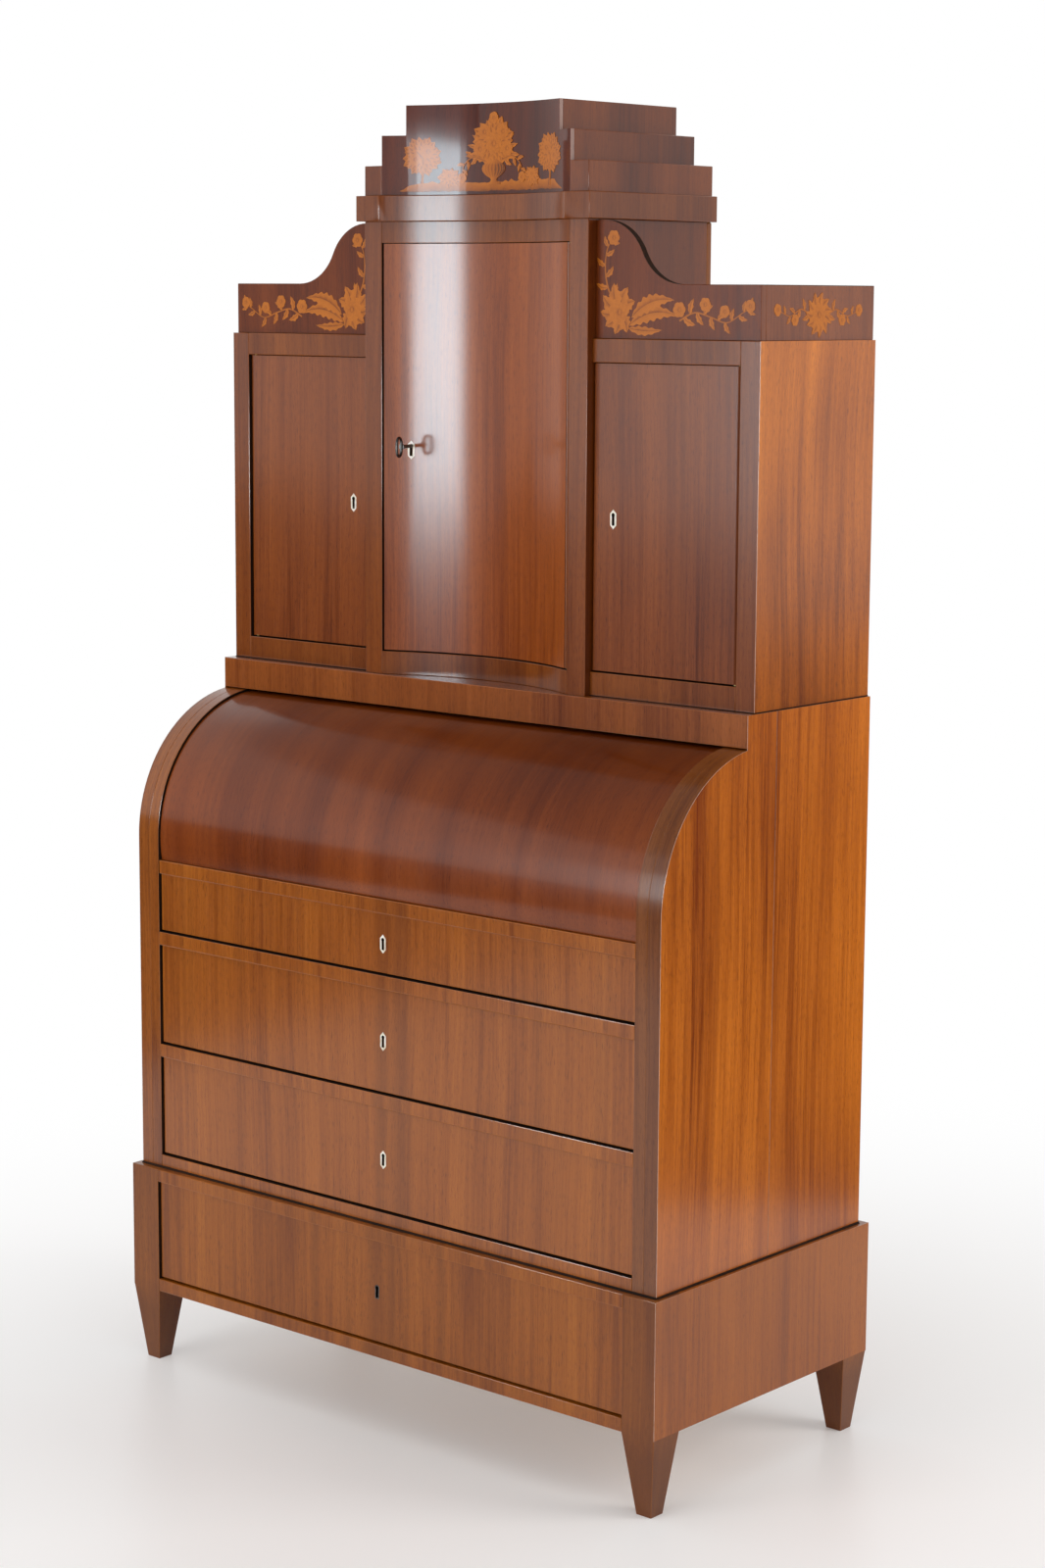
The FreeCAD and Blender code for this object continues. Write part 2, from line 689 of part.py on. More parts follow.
def hollow_rail(low, high):
    rail = block((f"-{hollow_half}", tower_front, low), (hollow_half, hollow_rear, high))
    return cut(rail, hollow_rod(low, high))


bolt_mortise = at_lock(bolt_space(f"{bolt_head} - bolt_throw - bolt_head_gap", 0, "bolt_play"))
node("tower_frame", group(
    cut(tower_stile(-1), bolt_mortise), tower_stile(1), tower_side(-1), tower_side(1),
    hollow_rail(top_high, door_low), hollow_rail(tower_door_high, tower_top)))

cornice_half = f"({tower_half} + cornice_overhang)"
cornice_top = f"({tower_top} + cornice_height)"
node("cornice", cut(
    block((f"-{cornice_half}", f"{tower_front} - cornice_overhang", tower_top),
          (cornice_half, rear, cornice_top)),
    hollow_rod(tower_top, cornice_top, "(-cornice_overhang)")))


# Pediment: three bottomless boxes, each narrower than the last, behind one hollow panel.
def pediment_step(count):
    half = f"({tower_half} - {count} * step_inset)"
    low = f"({cornice_top} + {count} * step_height)"
    high = f"({low} + step_height)"
    outside = block((f"-{half}", tower_front, low), (half, rear, high))
    panel_room = common(hollow_rod(low, high, "panel_thickness"),
                        block((f"-{hollow_half}", base_front, low), (hollow_half, rear, high)))
    inside = block((f"-{half} + step_wall", f"{hollow_rear} + panel_thickness", f"{low} - overrun"),
                   (f"{half} - step_wall", f"{rear} - step_wall", f"{high} - step_lid"))
    return cut(outside, panel_room, inside)


for count, name in enumerate(("pediment_step_low", "pediment_step_middle", "pediment_step_high")):
    node(name, pediment_step(count))
panel_shoulder = f"({cornice_top} + 2 * step_height)"
panel_top = f"({panel_shoulder} + step_height)"
panel_narrow = f"({tower_half} - 2 * step_inset)"
panel_outline = fuse(
    block((f"-{hollow_half}", base_front, cornice_top), (hollow_half, rear, panel_shoulder)),
    block((f"-{panel_narrow}", base_front, cornice_top), (panel_narrow, rear, panel_top)))
panel_sheet = cut(hollow_rod(cornice_top, panel_top, "panel_thickness"),
                  hollow_rod(cornice_top, panel_top))
panel_front_half = block((f"-{hollow_half}", tower_front, cornice_top), (hollow_half, rear, panel_top))
node("pediment_panel", common(panel_sheet, panel_outline, panel_front_half))

# Gallery: thin boards round the wing tops, the front ones swept up to the tower.
gallery_front = f"({cabinet_front} + gallery_setback)"
gallery_rear = f"({gallery_front} + gallery_board)"
gallery_outer = f"({cabinet_half} - gallery_inset)"
gallery_top = f"({cabinet_top} + gallery_height)"
sweep_top = f"({tower_top} - sweep_drop)"
sweep_rise = f"({sweep_top} - {gallery_top})"
sweep_radius = f"((sweep_run ^ 2 + {sweep_rise} ^ 2) / (4 * {sweep_rise}))"
sweep_start = f"({tower_half} + sweep_shoulder)"
sweep_middle = f"({sweep_start} + sweep_run / 2)"
sweep_end = f"({sweep_start} + sweep_run)"


def gallery_slab(side, inner, outer, low, high):
    x_low, x_high = span(side, inner, outer)
    return block((x_low, gallery_front, low), (x_high, gallery_rear, high))


def sweep_disc(side, x, z):
    return rod("y", (span(side, x, x)[0], gallery_front, z), "gallery_board", sweep_radius)


def swept_board(side):
    """A crest and a hollow of one radius, meeting halfway up the sweep."""
    crest = common(gallery_slab(side, sweep_start, sweep_middle, gallery_top, sweep_top),
                   sweep_disc(side, sweep_start, f"{sweep_top} - {sweep_radius}"))
    halfway = f"{gallery_top} + {sweep_rise} / 2"
    scoop = cut(gallery_slab(side, sweep_middle, sweep_end, gallery_top, halfway),
                sweep_disc(side, sweep_end, f"{gallery_top} + {sweep_radius}"))
    return fuse(gallery_slab(side, tower_half, gallery_outer, cabinet_top, gallery_top),
                gallery_slab(side, tower_half, sweep_start, cabinet_top, sweep_top), crest, scoop)


gallery = []
for side in SIDES:
    gallery.append(swept_board(side))
    x_low, x_high = span(side, f"{gallery_outer} - gallery_board", gallery_outer)
    gallery.append(block((x_low, gallery_rear, cabinet_top), (x_high, rear, gallery_top)))
node("gallery", group(*gallery))

# Shelves inside the wings and the tower.
shelves = []
for side in SIDES:
    level = f"({cabinet_floor} + {WING_SHELF_SHARE} * ({wing_door_high} - {cabinet_floor}))"
    x_low, x_high = span(side, tower_half, cabinet_inner)
    shelves.append(block((x_low, f"{frame_back} + shelf_setback", level),
                         (x_high, inner_back, f"{level} + shelf_thickness")))
for share in TOWER_SHELF_SHARES:
    level = f"({cabinet_floor} + {share} * ({tower_door_high} - {cabinet_floor}))"
    shelves.append(block((f"-{tower_inner}", f"{hollow_rear} + shelf_setback", level),
                         (tower_inner, inner_back, f"{level} + shelf_thickness")))
node("cabinet_shelves", group(*shelves))

# Doors turn on pins that stand in the rails; the hinge edge is rounded about the pin.
pins = []


def door_pins(x, y, low, high):
    """Two pins from the rails into the door, and the bores that they run in."""
    low_reach = "(door_foot_gap + pivot_length)"
    high_reach = "(door_gap + pivot_length)"
    bores = []
    for foot, reach in ((low, low_reach), (f"{high} - {high_reach}", high_reach)):
        pins.append(rod("z", (x, y, foot), reach, "pivot_radius"))
        bores.append(rod("z", (x, y, f"{foot} - running_gap"), f"{reach} + 2 * running_gap",
                         "pivot_radius + shaft_clearance"))
    return bores


def door_blank(side, free_edge, hinge_edge, front, back, pivot, low, high):
    """A board with its front hinge edge rounded about the pivot."""
    pivot_x, pivot_y = pivot
    x_low, x_high = span(side, free_edge, pivot_x)
    body = block((x_low, front, low), (x_high, back, high))
    x_low, x_high = span(side, pivot_x, hinge_edge)
    heel = block((x_low, pivot_y, low), (x_high, back, high))
    nose = rod("z", (span(side, pivot_x, pivot_x)[0], pivot_y, low), f"{high} - ({low})", "pivot_inset")
    return fuse(body, heel, nose)


def wing_door(side, name):
    free_edge = f"({tower_half} + door_free_gap)"
    hinge_edge = f"({stile_inner} - door_gap)"
    front = f"({cabinet_front} + door_recess)"
    back = f"({front} + door_thickness)"
    low = f"({door_low} + door_foot_gap)"
    high = f"({wing_door_high} - door_gap)"
    pivot = (f"({hinge_edge} - pivot_inset)", f"({front} + pivot_inset)")
    level = f"(({door_low}) / 2 + ({wing_door_high}) / 2)"
    middle = span(side, f"({free_edge} + lock_inset)", 0)[side < 0]
    board = door_blank(side, free_edge, hinge_edge, front, back, pivot, low, high)
    bores = door_pins(span(side, pivot[0], 0)[side < 0], pivot[1], door_low, wing_door_high)
    node(name, cut(board, *bores, escutcheon_blank(front, middle, level),
                   keyhole(f"{front} - overrun", f"{back} + overrun", middle, f"({level} + keyhole_rise)")))
    node(f"{name}_escutcheon", escutcheon(front, middle, level))
    lock_edge = f"({free_edge} + lock_edge_gap)"
    x_low, x_high = span(side, lock_edge, f"{lock_edge} + lock_width")
    node(f"{name}_lock", block((x_low, back, f"{level} - lock_height / 2"),
                               (x_high, f"{back} + lock_thickness", f"{level} + lock_height / 2")))


wing_door(-1, "left_door")
wing_door(1, "right_door")

# Tower door: a hollow sheet hinged on the right, its lock let into the back of the left edge.
tower_door_low = f"({door_low} + door_foot_gap)"
tower_door_top = f"({tower_door_high} - door_gap)"
tower_pivot_x = f"({door_edge} - pivot_inset)"
tower_pivot_y = f"({hollow_axis} + sqrt(({hollow_radius} + pivot_inset) ^ 2 - {tower_pivot_x} ^ 2))"
door_rear = f"({tower_front} + hollow_depth + tower_door_thickness)"
door_sheet = cut(hollow_rod(tower_door_low, tower_door_top, "tower_door_thickness"),
                 hollow_rod(tower_door_low, tower_door_top))
door_outline = door_blank(1, f"-{free_door_edge}", door_edge, tower_front, door_rear,
                          (tower_pivot_x, tower_pivot_y), tower_door_low, tower_door_top)
lock_face = f"({hollow_radius} + lock_front_wood)"
lock_rear = f"({hollow_radius} + tower_door_thickness)"
lock_corner = ("-key_inset - lock_tail", lock_face, "-lock_height / 2")
lock_case = block(lock_corner, ("lock_tail", lock_rear, "lock_height / 2"))
lock_room = block(lock_corner, ("lock_tail", f"{lock_rear} + overrun", "lock_height / 2"))
chamber = rod("y", (0, f"{lock_face} + lock_plate", 0), f"{lock_rear} - {lock_face} - 2 * lock_plate",
              "chamber_radius")
key_way = keyhole(f"{hollow_radius} - overrun", f"{lock_face} + lock_plate")
bolt_tunnel = bolt_space(lock_corner[0], f"{bolt_head} + bolt_length + bolt_throw", "bolt_play")
door_bores = door_pins(tower_pivot_x, tower_pivot_y, door_low, tower_door_high)
node("tower_door", cut(
    common(door_sheet, door_outline), *door_bores,
    at_lock(lock_room), at_lock(key_way), at_lock(escutcheon_blank(hollow_radius, level=plate_level))))
door_edge_room = block((f"-{free_door_edge}", tower_front, tower_door_low),
                       (0, f"{hollow_rear} + overrun", tower_door_top))
node("tower_door_lock", common(at_lock(cut(lock_case, chamber, key_way, bolt_tunnel)), door_edge_room))
node("tower_door_escutcheon", at_lock(escutcheon(hollow_radius, level=plate_level)))
node("tower_door_bolt", at_lock(bolt_space(bolt_head, f"{bolt_head} + bolt_length", "0")))
node("door_pivots", group(*pins))

# Key: an oval bow and a collar on a round shank, its bit hanging in the lock's chamber.
key_front = f"({hollow_radius} - key_reach)"
key_end = f"({lock_rear} - key_end_gap)"
bow_middle = f"({key_front} - key_bow_radius)"
bow_wires = [rod("z", (0, y, "-key_bow_straight / 2"), "key_bow_straight", "key_bow_wire")
             for y in (key_front, f"{bow_middle} - key_bow_radius")]


def bow_arch(end):
    """The round half of the bow at its top or foot."""
    level = f"({end} * key_bow_straight / 2)"
    ring = doc.addObject("Part::Torus", "Bow")
    ring.Placement = FreeCAD.Placement(FreeCAD.Vector(), FreeCAD.Rotation(Y_AXIS, 90))
    bind(ring, Radius1="key_bow_radius", Radius2="key_bow_wire")
    place(ring, (0, bow_middle, level))
    reach = "(key_bow_radius + key_bow_wire + overrun)"
    tip = f"({level} + {end} * {reach})"
    low, high = (level, tip) if end > 0 else (tip, level)
    half = block((f"-{reach}", f"{bow_middle} - {reach}", low), (reach, f"{bow_middle} + {reach}", high))
    return common(ring, half)


node("key", at_lock(fuse(
    bow_arch(-1), bow_arch(1), *bow_wires,
    rod("y", (0, key_front, 0), f"{key_end} - {key_front}", "key_shank_radius"),
    rod("y", (0, key_front, 0), "key_collar_length", "key_collar_radius"),
    block(("-key_bit_thickness / 2", f"{bolt_front} + key_bit_play", "-key_bit_length"),
          ("key_bit_thickness / 2", key_end, 0)))))

doc.recompute()
for thing in doc.Objects:
    if {"Invalid", "Error"} & set(thing.State):
        raise RuntimeError(f"{thing.Label} failed: {thing.State}")
for piece in pieces:
    if piece.Shape.isNull() or not piece.Shape.isValid() or not piece.Shape.Solids:
        raise RuntimeError(f"{piece.Label} has no sound solid")

os.makedirs("parts", exist_ok=True)
for piece in pieces:
    piece.Shape.exportStep(f"parts/{piece.Label}.step")
    print(piece.Label, len(piece.Shape.Solids), round(piece.Shape.Volume))
print(len(pieces), "sub-parts")
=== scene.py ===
import json
import math
import random
from collections import Counter

import bmesh
import bpy
from mathutils import Matrix, Vector


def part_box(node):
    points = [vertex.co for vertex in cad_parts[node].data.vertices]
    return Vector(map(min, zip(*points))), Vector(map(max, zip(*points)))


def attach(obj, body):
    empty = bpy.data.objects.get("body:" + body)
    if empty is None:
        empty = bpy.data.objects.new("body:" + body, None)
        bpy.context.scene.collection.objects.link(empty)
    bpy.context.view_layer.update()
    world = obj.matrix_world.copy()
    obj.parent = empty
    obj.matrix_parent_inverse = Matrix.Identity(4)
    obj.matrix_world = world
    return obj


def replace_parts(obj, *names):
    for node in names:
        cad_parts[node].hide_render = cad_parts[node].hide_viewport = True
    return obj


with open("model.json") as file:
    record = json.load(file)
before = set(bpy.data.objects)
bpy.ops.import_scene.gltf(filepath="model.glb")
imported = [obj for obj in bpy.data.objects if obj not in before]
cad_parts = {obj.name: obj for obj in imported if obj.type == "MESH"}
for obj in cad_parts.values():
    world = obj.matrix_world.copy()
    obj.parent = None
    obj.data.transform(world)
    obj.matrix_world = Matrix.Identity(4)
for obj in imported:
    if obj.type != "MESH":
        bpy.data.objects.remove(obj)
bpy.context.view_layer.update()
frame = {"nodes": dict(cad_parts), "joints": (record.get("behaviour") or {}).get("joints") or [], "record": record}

# Corner posts: four square posts of solid mahogany that taper into feet below the base.
# They are sawn from the plank, faced with veneer, and their long edges have worn round.
ARRIS = 0.0009
SHORTEST_ARRIS = 0.011
ROUND_STEPS = 2
ROUND_PROFILE = 0.5
SHARP = math.radians(25)
CREASE = math.radians(20)
FLAT = math.radians(0.5)
CORNER_DIGITS = 6
LYING = 0.7
SQUARE_ON = 0.9
LOG = 20.0

home_body = {n: body for body, nodes in frame["record"]["behaviour"]["bodies"].items() for n in nodes}


def boards_of(node):
    """The separate boards of a node, each a clean closed skin.
    A board ends where its last open edge closes."""
    mesh = frame["nodes"][node].data
    spots = [tuple(round(c, CORNER_DIGITS) for c in v.co) for v in mesh.vertices]
    boards = []
    rings = []
    waiting = Counter()
    for polygon in mesh.polygons:
        ring = [spots[i] for i in polygon.vertices]
        rings.append(ring)
        for a, b in zip(ring, ring[1:] + ring[:1]):
            if waiting[b, a]:
                waiting[b, a] -= 1
            else:
                waiting[a, b] += 1
        if not +waiting:
            boards.append(skin_of(rings))
            rings = []
    if rings:
        boards.append(skin_of(rings))
    return boards


def skin_of(rings):
    """A skin of the given rings of corners, with its flat areas made whole."""
    skin = bmesh.new()
    corners = {spot: skin.verts.new(spot) for ring in rings for spot in ring}
    for ring in rings:
        if len(set(ring)) == len(ring):
            skin.faces.new([corners[spot] for spot in ring])
    bmesh.ops.dissolve_limit(skin, angle_limit=FLAT, verts=skin.verts, edges=skin.edges)
    return skin


def soften(board, width, shortest=SHORTEST_ARRIS):
    """Rounds the long outer edges of a board and marks the rounding, which wear has rubbed pale."""
    worn = board.faces.layers.float.new("worn")
    arrises = [e for e in board.edges if e.is_manifold and e.calc_length() > shortest
               and e.calc_face_angle_signed(0) > SHARP]
    made = bmesh.ops.bevel(board, geom=arrises, offset=width, segments=ROUND_STEPS,
                           profile=ROUND_PROFILE, affect="EDGES", clamp_overlap=True)
    for face in made["faces"]:
        face[worn] = 1.0
    return board


def offcut(leaf):
    """Where in an endless log a leaf of veneer was cut."""
    chance = random.Random(leaf)
    return Vector([chance.uniform(0, LOG) for _ in range(3)])


def upright_grain(spot, normal):
    """Grain runs up a standing face and along a lying one.
    The last coordinate is the one along the grain."""
    return Vector((spot.y, spot.z, spot.x)) if abs(normal.z) > LYING else spot


def join_boards(name, boards, leaves, finish, grain=upright_grain):
    """One mesh of several boards, each with its grain laid out from its own leaf.
    finish is one material, or a function that chooses it for a face of a board of a given size."""
    mesh = bpy.data.meshes.new(name)
    spots, rings, along, worn, coats = [], [], [], [], []
    for board, leaf in zip(boards, leaves):
        shift = offcut(leaf)
        size = extent(board)
        board.verts.index_update()
        board.normal_update()
        mark = board.faces.layers.float.get("worn")
        start = len(spots)
        spots += [v.co.copy() for v in board.verts]
        for face in board.faces:
            rings.append([start + v.index for v in face.verts])
            worn.append(face[mark] if mark else 0.0)
            coats.append(finish(size, face) if callable(finish) else finish)
            along += [c for v in face.verts for c in grain(v.co, face.normal) + shift]
        board.free()
    mesh.from_pydata(spots, [], rings)
    mesh.attributes.new("grain", "FLOAT_VECTOR", "CORNER").data.foreach_set("vector", along)
    mesh.attributes.new("worn", "FLOAT", "FACE").data.foreach_set("value", worn)
    for coat in dict.fromkeys(coats):
        mesh.materials.append(coat)
    mesh.polygons.foreach_set("material_index", [mesh.materials.find(coat.name) for coat in coats])
    mesh.polygons.foreach_set("use_smooth", [True] * len(rings))
    mesh.set_sharp_from_angle(angle=CREASE)
    return mesh


def extent(board):
    """Width, depth and height of a board."""
    low, high = ([pick(v.co[axis] for v in board.verts) for axis in range(3)] for pick in (min, max))
    return Vector(high) - Vector(low)


def show(name, mesh, body):
    """Hangs a mesh on a body."""
    piece = bpy.data.objects.new(name, mesh)
    bpy.context.scene.collection.objects.link(piece)
    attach(piece, body)
    return piece


def dress(node, finish, width=ARRIS, shortest=SHORTEST_ARRIS, leaf=None, grain=upright_grain,
          halved=False):
    """A node's boards with softened edges and laid grain, shown in place of the node.
    A halved node has its faces cut at the middle, where two matched leaves meet."""
    boards = [soften(board, width, shortest) for board in boards_of(node)]
    if halved:
        for board in boards:
            everything = [*board.verts, *board.edges, *board.faces]
            bmesh.ops.bisect_plane(board, geom=everything, plane_co=(0, 0, 0), plane_no=(1, 0, 0))
    leaves = [leaf or f"{node} {i}" for i in range(len(boards))]
    mesh = join_boards(f"finished_{node}", boards, leaves, finish, grain)
    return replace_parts(show(f"finished_{node}", mesh, home_body[node]), node)


def add(tree, kind, inputs=None, **settings):
    """A shader node with its settings. An input is a plain value or another node's output."""
    made = tree.nodes.new(f"ShaderNode{kind}")
    for name, value in settings.items():
        setattr(made, name, value)
    for name, value in (inputs or {}).items():
        if isinstance(value, bpy.types.NodeSocket):
            tree.links.new(value, made.inputs[name])
        else:
            made.inputs[name].default_value = value
    return made


def new_finish(name, **sockets):
    """A material with its main shader, whose even values are set on the shader itself."""
    finish = bpy.data.materials.new(name)
    finish.use_nodes = True
    shader = finish.node_tree.nodes["Principled BSDF"]
    for socket, value in sockets.items():
        shader.inputs[socket.replace("_", " ").title().replace("Ior", "IOR")].default_value = value
    return finish, finish.node_tree, shader


def grain_on(tree):
    """Places on a board as its grain was laid out."""
    return add(tree, "Attribute", attribute_name="grain").outputs["Vector"]


def place_on(tree):
    """Places on a piece as it stands in the desk."""
    return add(tree, "TexCoord").outputs["Object"]


def stretched(tree, spot, across, along):
    """Coordinates scaled so that a pattern is drawn out along the grain."""
    scaled = add(tree, "VectorMath", {0: spot, 1: (across, across, along)}, operation="MULTIPLY")
    return scaled.outputs["Vector"]


def cloud(tree, spot, detail=2.0, roughness=0.5):
    """Soft noise round a half, finer with more detail."""
    noise = add(tree, "TexNoise", {"Vector": spot, "Scale": 1.0, "Detail": detail, "Roughness": roughness})
    return noise.outputs["Fac"]


def layered(tree, *layers):
    """The sum of several layers of figure, each a value and its share."""
    total = 0.0
    for value, share in layers:
        total = add(tree, "Math", {0: value, 1: share, 2: total}, operation="MULTIPLY_ADD").outputs[0]
    return total


def ramp(tree, value, stops):
    """Colours or greys by value, with each stop a place and a colour."""
    made = add(tree, "ValToRGB", {"Fac": value})
    elements = made.color_ramp.elements
    while len(elements) < len(stops):
        elements.new(0.5)
    for element, (place, colour) in zip(elements, stops):
        element.position = place
        element.color = (*colour, 1.0) if isinstance(colour, tuple) else (colour, colour, colour, 1.0)
    return made.outputs["Color"]


def graded(stops, share):
    """Stops with all their strengths taken by a share."""
    return [(place, strength * share) for place, strength in stops]


def mixed(tree, share, a, b):
    """Colour a with a share of colour b laid over it."""
    return add(tree, "Mix", {"Factor": share, "A": a, "B": b}, data_type="RGBA").outputs["Result"]


def tinted(tone, shares):
    """A tone with each of its channels taken by a share."""
    return tuple(channel * share for channel, share in zip(tone, shares))


RELIEF = 0.0004


def lay_on(tree, shader, colour, roughness, height=None, strength=0.3, depth=RELIEF):
    """Joins colour, roughness and any relief to the main shader."""
    tree.links.new(colour, shader.inputs["Base Color"])
    tree.links.new(roughness, shader.inputs["Roughness"])
    if height is not None:
        relief = add(tree, "Bump", {"Strength": strength, "Distance": depth, "Height": height})
        tree.links.new(relief.outputs["Normal"], shader.inputs["Normal"])


POLISH = {"coat_ior": 1.5, "specular_ior_level": 0.1}
POLISH_ROUGH = ((0.3, 0.30), (0.7, 0.44))
# Patterns of the wood, each by its repeats in a metre across the grain and along it.
DRIFT = (1.5, 1.1)
BLOOM = (2.6, 1.7)
BANDS = (18.0, 0.8)
STREAKS = (120.0, 1.8)
LINES = (420.0, 4.0)
PORES = (1900.0, 70.0)
VEINS = (34.0, 0.12)
KNOTS = (8.0, 4.0)
RUBS = (30.0, 30.0)
STREAK_SHARE = 0.63
STRIP_SHARE = 0.10
# Stops of the figure: where each tone, vein, pit, knot and line of the heart begins, and how strong it is.
TONE_STOPS = (0.36, 0.50, 0.64)
VEIN_STOPS = ((0.62, 0.0), (0.74, 1.0))
PIT_STOPS = ((0.60, 0.0), (0.70, 0.7))
KNOT_STOPS = ((0.012, 1.0), (0.05, 0.0))
HEART_STOPS = ((0.03, 0.0), (0.052, 1.0), (0.075, 0.4), (0.088, 1.0), (0.125, 0.0))
# Shares of the mean tone: what dark grain loses, what light grain gains, and the tone of each mark, the dark one
# also used as painted shade.
DARK_LOSS = (0.34, 0.42, 0.44)
LIGHT_GAIN = (0.26, 0.36, 0.46)
DARK_GRAIN_AND_SHADE = (0.50, 0.46, 0.55)
PIT = (0.50, 0.50, 0.50)
KNOT = (0.22, 0.20, 0.20)
RUBBED_PALE = (1.4, 1.6, 2.0)


def veneer(name, tone, depth=1.5, veins=0.35, knots=0.0, strips=0.0, heart=0.0, darkened=None,
           gloss=0.9, clouds=0.22, fine=0.46, sway=0.05, haze=0.15):
    """French-polished mahogany round one mean tone: bands, streaks, fine lines and pores drawn out
    along the grain, broad clouds, and a few dark veins. A leaf may have pin knots, come in short
    strips, or be matched at a dark heart. It may be darkened from one height to another by a share, which is
    painted shade."""
    finish, tree, shader = new_finish(name, coat_weight=gloss, coat_roughness=haze, **POLISH)
    laid = grain_on(tree)
    drift = add(tree, "TexNoise", {"Vector": stretched(tree, laid, *DRIFT), "Scale": 1.0, "Detail": 1.0})
    wavy = add(tree, "VectorMath", {0: drift.outputs["Color"], 1: (sway, sway, 0.0), 2: laid},
               operation="MULTIPLY_ADD").outputs["Vector"]
    bloom = cloud(tree, stretched(tree, wavy, *BLOOM))
    bands = cloud(tree, stretched(tree, wavy, *BANDS))
    streaks = cloud(tree, stretched(tree, wavy, *STREAKS), 4.0, 0.68)
    lines = cloud(tree, stretched(tree, wavy, *LINES), 3.0, 0.6)
    pores = cloud(tree, stretched(tree, wavy, *PORES), 1.0)
    figure = layered(tree, (bloom, clouds), (bands, 1 - clouds - fine),
                     (streaks, STREAK_SHARE * fine), (lines, (1 - STREAK_SHARE) * fine))
    if strips:
        cells = add(tree, "VectorMath", {0: laid, 1: (strips, strips, LOG * LOG)}, operation="SNAP")
        chance = add(tree, "TexWhiteNoise", {"Vector": cells.outputs["Vector"]}).outputs["Value"]
        figure = layered(tree, (chance, STRIP_SHARE), (figure, 1 - STRIP_SHARE))
    dark = tinted(tone, [1 - loss * depth for loss in DARK_LOSS])
    light = tinted(tone, [1 + gain * depth for gain in LIGHT_GAIN])
    colour = ramp(tree, figure, list(zip(TONE_STOPS, (dark, tone, light))))
    vein = ramp(tree, cloud(tree, stretched(tree, wavy, *VEINS), 1.0), graded(VEIN_STOPS, veins))
    dark_grain_and_shade = (*tinted(tone, DARK_GRAIN_AND_SHADE), 1.0)
    colour = mixed(tree, vein, colour, dark_grain_and_shade)
    if heart:
        spot = place_on(tree)
        away = add(tree, "SeparateXYZ", {"Vector": spot}).outputs["X"]
        off = layered(tree, (bands, 0.06), (streaks, 0.05), (away, 1.0))
        colour = mixed(tree, ramp(tree, off, graded(HEART_STOPS, heart)), colour, dark_grain_and_shade)
    pits = ramp(tree, pores, PIT_STOPS)
    colour = mixed(tree, pits, colour, (*tinted(dark, PIT), 1.0))
    if knots:
        cell = add(tree, "TexVoronoi", {"Vector": stretched(tree, wavy, *KNOTS), "Scale": 1.0})
        near = ramp(tree, cell.outputs["Distance"], graded(KNOT_STOPS, knots))
        colour = mixed(tree, near, colour, (*tinted(tone, KNOT), 1.0))
    # Painted shade: the tone darkens from one height to another.
    if darkened:
        start, end, share = darkened
        spot = place_on(tree)
        height = add(tree, "SeparateXYZ", {"Vector": spot}).outputs["Z"]
        gone = add(tree, "MapRange", {"Value": height, "From Min": start, "From Max": end, "To Max": share})
        colour = mixed(tree, gone.outputs["Result"], colour, dark_grain_and_shade)
    rubbed = add(tree, "Attribute", attribute_name="worn").outputs["Fac"]
    patches = cloud(tree, stretched(tree, wavy, *RUBS))
    patchy = add(tree, "Math", {0: rubbed, 1: patches}, operation="MULTIPLY").outputs[0]
    colour = mixed(tree, patchy, colour, (*tinted(tone, RUBBED_PALE), 1.0))
    furrows = layered(tree, (lines, 1.0), (pits, -0.5))
    lay_on(tree, shader, colour, ramp(tree, streaks, POLISH_ROUGH), furrows, strength=0.2)
    return finish


def shade_and_dust_finish(name):
    """Bare edges inside the openings, never polished: near black with dust, and painted shade for the shade that
    falls into these recesses and gaps.
    """
    finish, tree, shader = new_finish(name, specular_ior_level=0.1)
    laid = grain_on(tree)
    fibres = cloud(tree, stretched(tree, laid, 300.0, 9.0), 3.0)
    colour = ramp(tree, fibres, [(0.35, (0.010, 0.005, 0.003)), (0.65, (0.034, 0.014, 0.007))])
    lay_on(tree, shader, colour, ramp(tree, fibres, [(0.3, 0.65), (0.7, 0.85)]))
    return finish


# Painted shade: this near-black finish lines inner cheeks, gaps, keyholes and corner fillets where shade falls.
dust_and_shade_edge = shade_and_dust_finish("dust_and_shade_edge")
# Painted shade: the feet darken towards the floor.
foot_veneer = veneer("foot_mahogany", (0.195, 0.052, 0.005), darkened=(0.150, 0.090, 0.6), gloss=0.55)
post_low, post_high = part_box("corner_posts")
base_low, base_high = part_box("base_panels")


def post_finish(size, face):
    """The inner cheeks of the front posts, beside the drawer, are bare and painted near black as shade."""
    middle = face.calc_center_median()
    inner = face.normal.x * middle.x < 0 and abs(face.normal.x) > SQUARE_ON and middle.z > base_low.z
    return dust_and_shade_edge if inner else foot_veneer


dress("corner_posts", post_finish)

# Base box: panels let in between the posts at the sides and the back, and two rails across the front.
# One wide leaf of upright veneer hides the joints of post and panel on each side.
LEAF = 0.0005
RUBBED = 0.0001


def slip(corners, thick):
    """A thin closed piece: a flat outline and its copy, set off by thick."""
    piece = bmesh.new()
    outline = piece.faces.new([piece.verts.new(corner) for corner in corners])
    raised = bmesh.ops.extrude_face_region(piece, geom=[outline], use_keep_orig=True)["geom"]
    for corner in (g for g in raised if isinstance(g, bmesh.types.BMVert)):
        corner.co += Vector(thick)
    bmesh.ops.recalc_face_normals(piece, faces=piece.faces)
    return piece


